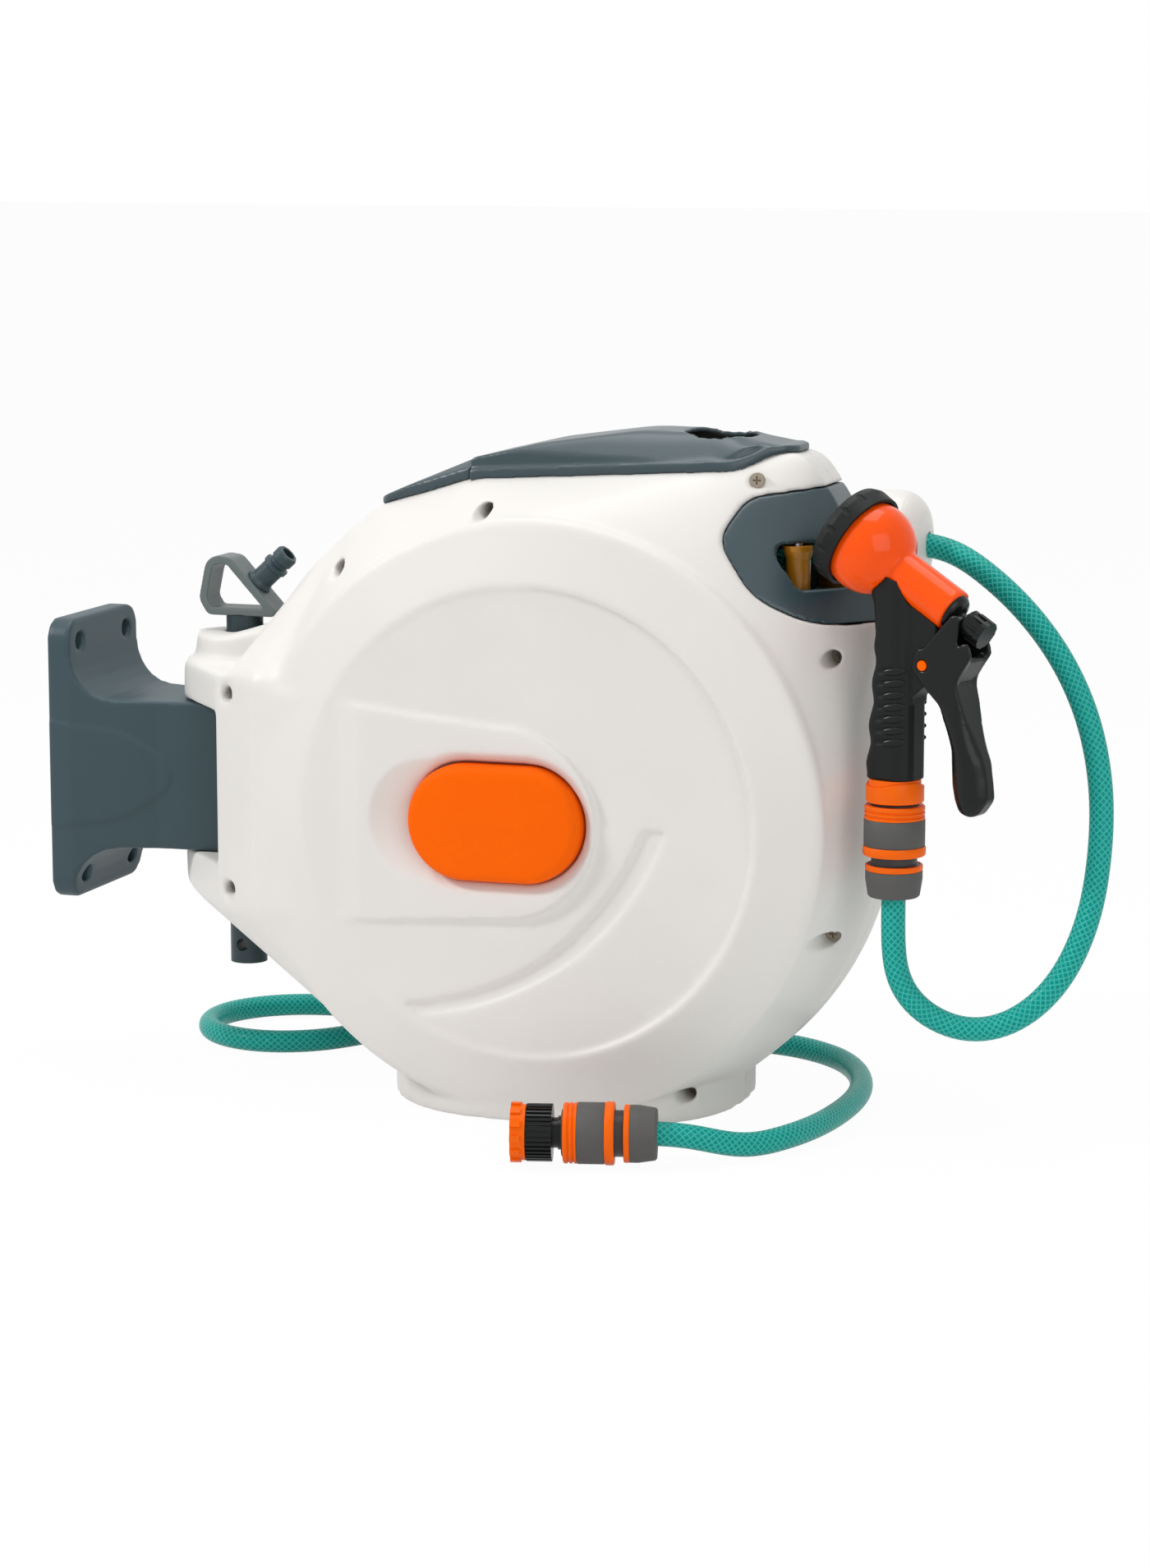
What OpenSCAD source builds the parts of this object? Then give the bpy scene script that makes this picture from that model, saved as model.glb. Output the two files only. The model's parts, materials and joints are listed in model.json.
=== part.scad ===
// Wall mounted hose reel: a swinging housing on a wall bracket, with a sprung drum, a hose and a spray gun.
// X points away from the wall, Y runs along the drum's axis and Z points up.
// The origin is the middle of the bracket's wall face.

/* [Wall bracket] */
// Width of the wall plate
plate_w = 105; // [96:1:120]
// Height of the wall plate
plate_h = 180; // [174:1:200]
// Thickness of the wall plate
plate_t = 15; // [10:1:18]
// Distance from the plate's sides to the wall bolts
bolt_side = 17.5; // [15:0.5:22]
// Distance from the plate's ends to the wall bolts
bolt_end = 15; // [13:0.5:20]
// Diameter of the wall bolt holes
bolt_d = 11; // [8:0.5:13]
// Distance from the wall to the hinge pin
pin_x = 114; // [112:1:130]
// Diameter of the hinge pin
pin_d = 23.5; // [18:0.5:26]
// Radius of the hinge barrel on the bracket's arm
barrel_r = 34; // [28:1:36]
// Height of the bracket's arm
arm_h = 95; // [80:1:100]

/* [Housing] */
// Radius of the housing's rim
rim_r = 200; // [196:1:212]
// Step from the rim in to the edge of each face
face_step = 16; // [14:1:22]
// Distance from the middle plane to the face
half_w = 107; // [106:1:114]
// How far each face falls away at its edge
edge_step = 13; // [10:1:15]
// Half width of the crest that joins hinge, handle and nose
crest_w = 20; // [16:1:24]
// Wall of the housing
wall = 4; // [3:0.5:5]
// Width of the sloping ring round the dish of each face
dish_step = 41; // [36:1:48]
// Depth of the dish at its deep side
dish_depth = 5; // [3:0.5:6]
// Gap between the rim and the hinge axis
pin_gap = 24; // [24:1:32]
// Radius of the hinge ears
ear_r = 39; // [36:1:42]
// Height of the foot
foot_h = 28; // [20:1:36]

/* [Hub cap] */
// Length of the cap
cap_l = 110; // [100:1:116]
// Height of the cap
cap_h = 71; // [64:1:76]
// How far the cap stands out of its pocket's rim
cap_proud = 6; // [3:0.5:10]

/* [Handle] */
// Half width of the carry handle
grip_w = 40; // [36:1:46]
// Height of the handle's crown above the rim
grip_rise = 31; // [28:1:38]
// Length of the finger opening along the handle
finger_l = 42; // [34:1:42]
// Width of the finger opening
finger_w = 52; // [44:1:56]

/* [Outlet] */
// Height of the outlet slot
slot_h = 26; // [22:1:28]
// Half width of the outlet slot
slot_w = 58; // [52:1:60]
// Radius of each guide roller
roller_r = 9; // [7:0.5:10]
// Radius of the hose stop
stop_r = 32; // [28:1:34]

/* [Drum] */
// Outer diameter of the hose
hose_d = 14.5; // [12:0.5:15]
// Step from the rim in to the drum's flanges
flange_step = 34; // [32:1:50]
// Radius of the drum's core, as a share of the rim's
core_share = 0.3; // [0.29:0.005:0.32]
// Radius of the axle
axle_r = 14; // [12:0.5:15]
// Loops in the outer layer of hose
loops = 9; // [6:1:9]
// Teeth on the ratchet ring
teeth = 12; // [12:4:24]

/* [Spray gun and connectors] */
// Radius of the gun's dome
dome_r = 27.5; // [25:0.5:29]
// Radius of the gun's barrel
barrel_tube_r = 13; // [11.5:0.5:14]
// Radius of a quick connector
coupler_r = 18; // [17:0.5:19]
// Length of a quick connector
coupler_l = 56; // [54:1:60]

/* [Hidden] */
$fn = 64;
// Running clearance of a shaft in its bore
run = 0.05;
// Clearance between fixed pieces
fit = 0.2;
// Clearance between moving pieces
gap = 0.5;
far = 400;

// Shares of the rim radius and half width that the outlines and routes are drawn for
wide = rim_r / 200;
deep = half_w / 107;
face_r = rim_r - face_step;
edge_w = half_w - edge_step;
dish_r = face_r - dish_step;
flange_r = rim_r - flange_step;
core_r = core_share * rim_r;
bolt_dy = plate_w - 2 * bolt_side;
bolt_dz = plate_h - 2 * bolt_end;

// Places of the reel and its hinge
reel_x = pin_x + rim_r + pin_gap;
reel_z = -14;
hinge_x = -rim_r - pin_gap;
pin_r = pin_d / 2;
slot_low = -43;
slot_top = slot_low + arm_h + 2 * gap;
ear_t = 26;
boss_t = 18;
foot_z = 14 - rim_r;

// The crest runs from the hinge over the handle to the nose
nose_x = 150 * wide;
nose_rise = 21;
nose_round = 22;
seam_x = -58 * wide;
mouth_top = [168 * wide, rim_r - 5];
mouth_low = [rim_r + 5, rim_r - 72];
crest = rounded(
    [
        mouth_low, mouth_top, [nose_x, rim_r + nose_rise], [seam_x, rim_r + 7], [-124 * wide, rim_r - 20],
        [-142 * wide, rim_r - 33], [-160 * wide, rim_r - 50], [-184 * wide, rim_r - 79],
        [hinge_x, slot_low - ear_t], [0, 0]
    ],
    [3, 0, nose_round, 0, 0, 0, 0, 0, 8, 0]
);

// Band from the hinge ears to the hub
band_x = -12;
band_r = 58;
band_n = half_w + 2;
band_left = hinge_x + 9;
ear_side = [[band_left, 70 * deep], [-180 * wide, 96 * deep], [-104 * wide, band_n]];
ear_end = -150 * wide;
slot_end = hinge_x + barrel_r + 6;

// Crescents at the edge of the dish
crescent_turn = 40;
crescent_share = dish_r / 143;
crescent_in = 88 * crescent_share;
crescent_depth = 3;

// Hub cap pocket
cap_x = -17;
cap_r = cap_h / 2;
cap_reach = cap_l / 2 - cap_r;
pocket_gap = 1;
pocket_flare = 7;
pocket_n = half_w - 10;
scoop_r = 38;
scoop_x = -60;
scoop_h = 62;
hub_wall = 5;

// Outlet and its bezel
bezel = [
    [rim_r + 25, rim_r - 78], [rim_r + 25, rim_r + 1], [mouth_top.x, rim_r + 1], [122 * wide, rim_r - 5],
    [110 * wide, rim_r - 28], [134 * wide, rim_r - 61], [168 * wide, rim_r - 79]
];
bezel_round = [1, 1, 20, 16, 16, 60, 60];
bezel_sink = 0.6;
stop_x = 184 * wide;
stop_z = rim_r - 34;
stop_l = 38;
slot_z = rim_r - 58;
roller_x = 152 * wide;
roller_n = 41 * deep;
roller_z = [rim_r - 67.5, rim_r - 33];
shelf_t = 4;
roller_pin_r = 3;

// Handle
handle_end_x = 142 * wide;
finger_x = 92 * wide;
well_w = 30;
well_x = [-20 * wide, 113 * wide];
lip = 2.5;
lip_t = 4.5;
well_z = rim_r - 12;
tray_wall = 3;

// Drum
drum_n = half_w - 27;
flange_t = 4;
web_t = 6;
core_wall = 4;
bush_wall = 3;
hub_hole_r = 30;
wound_r = flange_r - 60 * wide;
wound_n = drum_n - 2;
loop_pitch = hose_d + 0.9;
turns = min(loops, floor((2 * wound_n - hose_d) / loop_pitch));
swivel_n = drum_n / 2;
spring_n = [-10, drum_n - 20];
spring_turns = 5;
spring_t = 1.6;
arbor_r = axle_r + 6;
ratchet_r = 95 * wide;
ratchet_root = 86 * wide;
ratchet_t = 6;
flange_hole_r = (flange_r - ratchet_r) / 5;
socket_r = axle_r + 8;
axle_end = half_w + 2;
elbow_turn = 25;
elbow_l = 46;
elbow_r = 15;
elbow_n = axle_end + 20;

// Screws that join the housing, as [x, z] seen from the near side
screws = [
    [hinge_x + 20, 66], [hinge_x + 20, -57], [-136 * wide, rim_r - 56], [-35 * wide, rim_r - 16],
    [126 * wide, rim_r + 5], [178 * wide, rim_r - 98], [176 * wide, -68 * wide], [90 * wide, foot_z + 17]
];
screw_r = 2.5;
screw_head_r = 4.5;
screw_seat_n = 38;
column_r = 8;

// Spray gun, in its own frame: x towards the spray, z up the grip
gun_side = stop_r + dome_r + 12.5;
gun_at = [rim_r + 21, -gun_side, rim_r - 180];
gun_turn = 161.5;
gun_tilt = 30;
gun_axis_z = 139;
gun_rear = -45;
gun_head = 22;
gun_front = 31;
trigger_at = [-25, 85];
trigger_pin_r = 3;
cheek_in = 9.5;
cheek_out = 12.5;
finger_s = -53;
finger_r = 3;
stem_r = 3;
knob_s = finger_s - finger_r - 0.6;
knob_l = 14;
knob_r = 8.5;
grip_low = 13;

// Quick connectors
nipple_r = 7.4;
nipple_l = 22;
collar_z = [1, 31];
collar_in = coupler_r - 4;
nut_z = coupler_l - 16;
tail_z = coupler_l - 10;
tap_at = [50 * wide, -180 * deep, foot_z + coupler_r];
tap_turn = 15;

// Hose routes, in the reel's frame
hose_r = hose_d / 2;
floor_z = foot_z + hose_r + 0.25;
drum_way = [[40, 124], [75, 135], [110, 146]];
outlet_way = [[140, -45], [162, -38], [180, -34], [200, -34]];
gun_way = [
    [22, 0, -34], [40, -3, -38], [56, -8, -47], [81, -16, -65], [107, -22, -94], [126, -28, -129],
    [136, -34, -167],
    [138, -40, -205], [133, -46, -248], [118, -52, -285], [96, -57, -308], [72, -62, -317], [50, -67, -313],
    [32, -70, -301], [23, -72, -284]
];
gun_route = concat(
    [for (p = drum_way) wide * [p.x, 0, p.y]],
    [for (p = outlet_way) [p.x * wide, 0, rim_r + p.y]],
    [for (p = gun_way) [rim_r + p.x, p.y * gun_side / 72, rim_r + p.z]],
    [for (z = [-82, 10 - coupler_l]) gun_at + [0, 0, z]]
);
leader_drop = [
    [-45 * wide, elbow_n, -92 * wide], [-76 * wide, elbow_n + 2, -126 * wide],
    [-118 * wide, elbow_n + 5, -153 * wide], [-166 * wide, elbow_n + 11, -170 * wide]
];
leader_lay = [
    [-205, 143], [-236, 139], [-262, 126], [-279, 104], [-284, 78], [-276, 51], [-257, 32], [-231, 24],
    [-205, 30], [-184, 47], [-170, 70], [-155, 92], [-134, 109], [-106, 117], [-70, 120], [-35, 122],
    [0, 124],
    [40, 127], [80, 128], [113, 120], [145, 96], [166, 62], [178, 25], [182, -10], [181, -45], [176, -80],
    [165, -113], [147, -139]
];

// Outlines
function unit(v) = v / norm(v);
function side_of(a, b) = let (d = unit(b - a)) [d.y, -d.x];
function grown(p, g) = [
    for (i = [0 : len(p) - 1])
        let (n = len(p), b = p[i], u = side_of(p[(i + n - 1) % n], b), v = side_of(b, p[(i + 1) % n]))
            b + g * (u + v) / (1 + u * v)
];
function corner(a, b, c, r, steps) =
    let (
        u = unit(a - b),
        v = unit(c - b),
        half = acos(u * v) / 2,
        centre = b + unit(u + v) * r / sin(half),
        from = b + u * r / tan(half) - centre,
        turn = sign(cross(b - a, c - b)) * (180 - 2 * half)
    )
    [
        for (k = [0 : steps])
            let (t = turn * k / steps)
                centre + [from.x * cos(t) - from.y * sin(t), from.x * sin(t) + from.y * cos(t)]
    ];
function rounded(p, r, steps = 5) = [
    for (i = [0 : len(p) - 1])
        let (n = len(p), k = is_list(r) ? r[i] : r)
            each k == 0 ? [p[i]] : corner(p[(i + n - 1) % n], p[i], p[(i + 1) % n], k, steps)
];
function both_sides(p) = concat(p, [for (i = [len(p) - 1 : -1 : 0]) [p[i].x, -p[i].y]]);
// Point where a straight side leaves the round end of the hinge ears
function touch(p) =
    let (d = p - [hinge_x, 0], a = atan2(d.y, d.x) + acos(ear_r / norm(d)))
        [hinge_x, 0] + ear_r * [cos(a), sin(a)];
function box_at(x0, x1, y0, y1) = [[x0, y0], [x1, y0], [x1, y1], [x0, y1]];

// Slabs along each axis, and turned shapes about the drum's axis
module outline_slab(p, y0, y1) {
    translate([0, y1, 0])
        rotate([90, 0, 0])
            linear_extrude(y1 - y0)
                polygon(p);
}
module plan_slab(p, z0, z1) {
    translate([0, 0, z0])
        linear_extrude(z1 - z0)
            polygon(p);
}
module end_slab(p, x0, x1) {
    translate([x0, 0, 0])
        rotate([90, 0, 90])
            linear_extrude(x1 - x0)
                polygon(p);
}
module disc_y(r, y0, y1) {
    translate([0, y1, 0])
        rotate([90, 0, 0])
            cylinder(r = r, h = y1 - y0);
}
module tube_y(r_out, r_in, y0, y1) {
    difference() {
        disc_y(r_out, y0, y1);
        disc_y(r_in, y0 - 1, y1 + 1);
    }
}
module turned() {
    rotate([90, 0, 0])
        rotate_extrude($fn = 96)
            children();
}
module at_reel() {
    translate([reel_x, 0, reel_z])
        children();
}
module at_gun() {
    translate([reel_x, 0, reel_z] + gun_at)
        rotate([0, 0, gun_turn])
            children();
}
module at_barrel() {
    at_gun()
        translate([0, 0, gun_axis_z])
            rotate([0, 90 - gun_tilt, 0])
                children();
}
module at_tap() {
    translate([reel_x, 0, reel_z] + tap_at)
        rotate([0, 0, tap_turn])
            rotate([0, 90, 0])
                children();
}
module at_gun_coupler() {
    at_gun()
        mirror([0, 0, 1])
            children();
}

// Hose tubes swept along a route
function along(p, i) = unit(p[min(i + 1, len(p) - 1)] - p[max(i - 1, 0)]);
function square_to(n, t) = unit(n - t * (n * t));
function frames(p, first) = [
    for (
        i = 0, n = square_to(first, along(p, 0));
        i < len(p);
        i = i + 1, n = square_to(n, along(p, min(i, len(p) - 1)))
    ) n
];
module hose_tube(p, r, sides, first) {
    across = frames(p, first);
    points = [
        for (i = [0 : len(p) - 1], k = [0 : sides - 1])
            p[i] + r * (cos(360 * k / sides) * across[i] + sin(360 * k / sides) * cross(along(p, i),
                across[i]))
    ];
    last = (len(p) - 1) * sides;
    walls = [
        for (i = [0 : len(p) - 2], k = [0 : sides - 1])
            let (a = i * sides + k, b = i * sides + (k + 1) % sides)
                each [[a, a + sides, b + sides], [a, b + sides, b]]
    ];
    caps = [
        for (k = [1 : sides - 2])
            each [[0, k, k + 1], [last, last + k + 1, last + k]]
    ];
    polyhedron(points, concat(walls, caps));
}

// Housing forms
module housing_form(g) {
    hull($fn = 96) {
        disc_y(rim_r + g, -crest_w - g, crest_w + g, $fn = 96);
        disc_y(face_r + g, 6 - edge_w - g, edge_w - 6 + g, $fn = 96);
        outline_slab(grown(crest, g), -crest_w - g, crest_w + g);
    }
}
module face_dome() {
    turned()
        polygon(rounded(
            [[0, 60], [face_r, 60], [face_r, edge_w], [dish_r + 1, half_w], [0, half_w]], [0, 0, 7, 3, 0]
        ));
}
// Dish, deepest towards the nose, with a crescent at its upper and at its lower edge
module face_cuts() {
    translate([0, dish_depth / 2 - half_w, 0])
        rotate([0, 0, atan(dish_depth / (2 * dish_r))]) {
            disc_y(dish_r, -30, 0, $fn = 96);
            intersection() {
                crescent_slab(far) {
                    circle(r = dish_r - 1, $fn = 96);
                    translate(crescent_share * [-67, -77])
                        circle(r = 199 * crescent_share, $fn = 96);
                }
                rotate([0, -crescent_turn, 0])
                    translate([crescent_in, 0, 0])
                        rotate([0, 0, atan(crescent_depth / (dish_r - crescent_in))])
                            translate([-far, -30, -far])
                                cube([2 * far, 30, 2 * far]);
            }
            crescent_slab(crescent_depth) {
                translate(crescent_share * [-84, 63])
                    circle(r = 185 * crescent_share, $fn = 96);
                union() {
                    translate(crescent_share * [-92, 63])
                        circle(r = 178 * crescent_share, $fn = 96);
                    translate([-far, 0])
                        square(2 * far);
                    difference() {
                        circle(r = far);
                        circle(r = dish_r - 4, $fn = 96);
                    }
                }
            }
        }
}
module crescent_slab(depth) {
    translate([0, depth, 0])
        rotate([90, 0, 0])
            linear_extrude(2 * far)
                difference() {
                    children(0);
                    children(1);
                }
}
module band() {
    intersection() {
        rotate([90, 0, 0])
            linear_extrude(2 * far, center = true) {
                polygon([[band_left, 78], [band_left, -72], [band_x, -band_r], [band_x, band_r]]);
                translate([band_x, 0])
                    circle(r = band_r);
            }
        plan_slab(both_sides(concat(ear_side, [[band_r, band_n]])), -far, far);
    }
}
// Ears with a saddle that rises from the hinge boss to the crest
module hinge_ears() {
    boss_r = ear_r - 8;
    boss_z = slot_top + ear_t + boss_t;
    ear_plan = both_sides([touch(ear_side[0]), ear_side[0], ear_side[1], [ear_end, ear_side[1].y]]);
    saddle = [for (p = [[0, -1], [12, 2.5], [22, 5.5], [29, 8.3], [36, 16], [44, 26.5], [52, 38], [64, 52]])
        [hinge_x + p.x, boss_z + p.y]];
    for (z = [slot_top, slot_low - ear_t]) {
        plan_slab(ear_plan, z, z + ear_t);
        translate([hinge_x, 0, z])
            cylinder(r = ear_r, h = ear_t);
    }
    translate([hinge_x, 0, slot_top])
        cylinder(r = boss_r, h = ear_t + boss_t - 1);
    outline_slab(
        concat([[ear_end, slot_top], [hinge_x, slot_top]], saddle, [[ear_end, saddle[7].y]]), -boss_r, boss_r
    );
    shoulder(slot_top + ear_t - 1, [
        [-184 * wide, rim_r - 79], [-160 * wide, rim_r - 50], [-142 * wide, rim_r - 33],
        [-140 * wide, rim_r - 90]
    ], crest_w, [[band_left + 11, 76 * deep]]);
    shoulder(slot_low - ear_t, [
        [-150 * wide, -105 * wide], [-130 * wide, -130 * wide], [-130 * wide, -90 * wide]
    ], edge_w - 6, [touch(ear_side[0]), ear_side[0]]);
}
// Sloping side from an ear to the rim
module shoulder(z, outline, n, start) {
    hull() {
        plan_slab(both_sides(concat(start, [ear_side[1], [ear_end, ear_side[1].y]])), z, z + 1);
        outline_slab(outline, -n, n);
    }
}
module foot() {
    plan_slab(
        rounded(box_at(-112 * wide, 110 * wide, -edge_w - 2, edge_w + 2), edge_w - 10, 8), foot_z,
        foot_z + foot_h
    );
}
module cavity() {
    intersection() {
        union() {
            housing_form(-wall);
            turned()
                polygon([
                    [0, 0], [0, pocket_n - hub_wall], [band_r + 4, pocket_n - hub_wall],
                    [band_r + 10, half_w - dish_depth - hub_wall],
                    [dish_r - 10, half_w - dish_depth - hub_wall],
                    [face_r - 14, edge_w - 2], [face_r - 14, 0]
                ]);
        }
        translate([slot_end + wall, -far, foot_z + wall])
            cube(2 * far);
    }
}
module hinge_slot() {
    translate([hinge_x, 0, slot_low])
        cylinder(r = barrel_r + 6, h = slot_top - slot_low);
    plan_slab(
        both_sides([[-far, ear_side[0].y - wall], [band_left, ear_side[0].y - wall], [slot_end, 86 * deep]]),
        slot_low, slot_top
    );
}
// Near half of the housing, before the pieces of one side
module shell_core() {
    difference() {
        intersection() {
            union() {
                difference() {
                    union() {
                        housing_form(0);
                        face_dome();
                    }
                    face_cuts();
                }
                band();
                hinge_ears();
                foot();
            }
            translate([-far, -far, foot_z])
                cube([2 * far, far, 2 * far]);
        }
        cavity();
        hinge_slot();
        outline_slab(rounded(grown(bezel, fit), bezel_round), -far, 1);
        translate([well_x[0] - tray_wall - fit, -well_w - tray_wall - fit, well_z - 10])
            cube([well_x[1] - well_x[0] + 2 * (tray_wall + fit), well_w + far, far]);
    }
}
module screw_columns() {
    intersection() {
        housing_form(-1);
        for (s = screws)
            translate([s.x, 0, s.y])
                disc_y(column_r, -far, 0);
    }
}
module axle_socket() {
    disc_y(socket_r, hub_wall / 2 - pocket_n, -drum_n - gap);
}
module screw_holes() {
    for (s = screws)
        translate([s.x, 0, s.y]) {
            disc_y(screw_r + 0.1, -far, far);
            disc_y(screw_head_r + 0.75, -far, -screw_seat_n);
        }
}
module pin_bore() {
    translate([hinge_x, 0, -far])
        cylinder(r = pin_r + run, h = 2 * far);
}

// Wall bracket
module wall_bracket() {
    arm_low = reel_z + slot_low + gap;
    arm_top = arm_low + arm_h;
    sweep_r = 28;
    side = rounded(
        [
            [0, -plate_h / 2], [plate_t, -plate_h / 2], [plate_t, arm_low], [pin_x + barrel_r, arm_low],
            [pin_x + barrel_r, arm_top], [plate_t, arm_top], [plate_t, plate_h / 2], [0, plate_h / 2]
        ],
        [0, 3, min(sweep_r, plate_h / 2 + arm_low - 4), 3, 3, min(sweep_r, plate_h / 2 - arm_top - 4), 3, 0]
    );
    module plan(g) {
        translate([pin_x, 0, -far])
            cylinder(r = barrel_r + g, h = 2 * far);
        plan_slab([
            [0, -plate_w / 2 - g], [plate_t, -plate_w / 2 - g], [pin_x - 46, -barrel_r - 3 - g],
            [pin_x, -barrel_r - g], [pin_x, barrel_r + g], [pin_x - 46, barrel_r + 3 + g],
            [plate_t, plate_w / 2 + g], [0, plate_w / 2 + g]
        ], -far, far);
    }
    color([0.27, 0.33, 0.36])
        difference() {
            union() {
                intersection() {
                    outline_slab(side, -far, far);
                    plan(0);
                    end_slab(
                        rounded(box_at(-plate_w / 2, plate_w / 2, -plate_h / 2, plate_h / 2), 14), -1, far
                    );
                }
                intersection() {
                    plan(1);
                    translate([0, 0, (arm_low + arm_top) / 2])
                        outline_slab(rounded(
                            [[0.5, -34], [46, -28], [88, 0], [46, 28], [0.5, 34]], [0, 40, 14, 40, 0]
                        ), -far, far);
                }
            }
            translate([pin_x, 0, -far])
                cylinder(r = pin_r + run, h = 2 * far);
            for (y = [-1, 1], z = [-1, 1])
                translate([-1, y * bolt_dy / 2, z * bolt_dz / 2])
                    rotate([0, 90, 0])
                        cylinder(d = bolt_d, h = far);
        }
}

// Hinge pin with its loop and parking spigot
pin_top = slot_top + ear_t + boss_t;
pin_low = slot_low - ear_t - 50;
loop_t = 5;
loop_w = 22;
loop_z = pin_top + 9;
loop_x = hinge_x + 5;
module hinge_pin() {
    color([0.24, 0.30, 0.33])
        at_reel()
            translate([hinge_x, 0, 0])
                difference() {
                    translate([0, 0, pin_low])
                        cylinder(r = pin_r, h = loop_z - pin_low);
                    translate([0, 0, pin_low + 12])
                        disc_y(4, -far, far);
                }
}
// Loop outline: flat foot, round hand end, sloping face that carries the spigot
loop_out = [[24, 0], [-10, 37], [-26, 39], [-32, 10], [-26, 0]];
module pull_loop() {
    color([0.45, 0.47, 0.49])
        at_reel()
            translate([loop_x, 0, loop_z])
                difference() {
                    outline_slab(rounded(loop_out, [3, 8, 10, 9, 6]), -loop_w / 2, loop_w / 2);
                    outline_slab(
                        rounded(grown(loop_out, -loop_t), [1, 4, 6, 5, 3]), -loop_w, loop_w
                    );
                }
}
// Male nipple that parks the gun's connector, square to the loop's sloping face
module parking_spigot() {
    slope = atan2(37, 34);
    color([0.22, 0.33, 0.36])
        at_reel()
            translate([loop_x + 5, 0, loop_z + 19 * 37 / 34])
                rotate([0, slope, 0])
                    difference() {
                        rotate_extrude()
                            polygon([
                                [0, 0], [9, 0], [9, 1.5], [nipple_r, 4], [nipple_r, 14], [nipple_r + 1.1, 15],
                                [nipple_r + 1.1, 17.5], [nipple_r - 1, 18.5], [nipple_r - 1, 20.5],
                                [nipple_r, 21.5], [nipple_r, 26.5], [nipple_r - 1, 28], [0, 28]
                            ]);
                        translate([0, 0, 6])
                            cylinder(r = 4.5, h = 30);
                    }
}

// Housing halves
module near_shell() {
    color([0.90, 0.88, 0.84])
        at_reel()
            difference() {
                union() {
                    shell_core();
                    screw_columns();
                    axle_socket();
                    translate([pawl_at.x, 0, pawl_at.y])
                        disc_y(7, 2 - half_w + dish_depth, gap - drum_n - flange_t - ratchet_t);
                }
                screw_holes();
                pin_bore();
                disc_y(axle_r + run, -pocket_n + hub_wall, 0);
                translate([pawl_at.x, 0, pawl_at.y])
                    disc_y(pawl_pin_r + run, 6 - half_w + dish_depth, 0);
                cap_pocket();
            }
}
// Pocket with a flared edge and a thumb scoop at its left end
module cap_pocket() {
    wall_line = [
        [0, pocket_n], [cap_r + pocket_gap, pocket_n], [cap_r + pocket_gap, band_n - 5],
        [cap_r + pocket_gap + pocket_flare, band_n + 0.5], [cap_r + pocket_gap + pocket_flare, band_n + 30],
        [0, band_n + 30]
    ];
    translate([cap_x, 0, 0]) {
        for (x = [-1, 1])
            translate([x * cap_reach, 0, 0])
                turned()
                    polygon(wall_line);
        for (m = [-1, 1])
            end_slab([for (p = wall_line) [-p.y, m * p.x]], -cap_reach, cap_reach);
    }
    translate([scoop_x, -band_n - scoop_h, 0])
        sphere(r = norm([scoop_r, scoop_h]), $fn = 96);
}
module far_shell() {
    color([0.88, 0.86, 0.82])
        at_reel()
            difference() {
                union() {
                    mirror([0, 1, 0]) {
                        shell_core();
                        axle_socket();
                    }
                    mirror([0, 1, 0])
                        screw_columns();
                }
                for (s = screws)
                    translate([s.x, 0, s.y])
                        disc_y(screw_r + 0.1, -1, screw_seat_n);
                pin_bore();
                disc_y(axle_r + run, 0, far);
            }
}
module shell_screws() {
    color("silver")
        at_reel()
            for (s = screws)
                translate([s.x, 0, s.y]) {
                    disc_y(screw_r, -screw_seat_n, screw_seat_n - 4);
                    difference() {
                        disc_y(screw_head_r, -screw_seat_n - 3, -screw_seat_n);
                        for (a = [0, 90])
                            rotate([0, a, 0])
                                translate([-2.5, -screw_seat_n - 4, -0.5])
                                    cube([5, 2.5, 1]);
                    }
                }
}

// Hub cap: a stadium with a rolled edge
module hub_cap() {
    top = band_n + cap_proud;
    edge = rounded(
        [[0, pocket_n], [cap_r, pocket_n], [cap_r, top], [0, top + 1.5]], [0, 0, 6, 0]
    );
    color([1, 0.42, 0])
        at_reel()
            translate([cap_x, 0, 0]) {
                for (x = [-1, 1])
                    translate([x * cap_reach, 0, 0])
                        turned()
                            polygon(edge);
                for (m = [-1, 1])
                    end_slab([for (p = edge) [-p.y, m * p.x]], -cap_reach, cap_reach);
            }
}

// Handle on the crest
module tray_plan(g) {
    plan_slab(rounded(
        grown([[seam_x, -grip_w + 4], [seam_x, grip_w - 4], [-92 * wide, 29],
            [-124 * wide, 20], [-124 * wide, -20], [-92 * wide, -29]], g),
        [1, 1, 30, 12, 12, 30]
    ), 0, far);
}
module crest_plate() {
    color([0.25, 0.31, 0.34])
        at_reel()
            difference() {
                intersection() {
                    housing_form(5);
                    tray_plan(0);
                }
                housing_form(fit);
            }
}
module handle_tray() {
    color([0.25, 0.31, 0.34])
        at_reel()
            difference() {
                translate([well_x[0] - tray_wall, -well_w - tray_wall, well_z])
                    cube([
                        well_x[1] - well_x[0] + 2 * tray_wall, 2 * (well_w + tray_wall),
                        rim_r + 3 - well_z
                    ]);
                translate([well_x[0], -well_w, well_z + tray_wall])
                    cube([well_x[1] - well_x[0], 2 * well_w, far]);
            }
}
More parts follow.
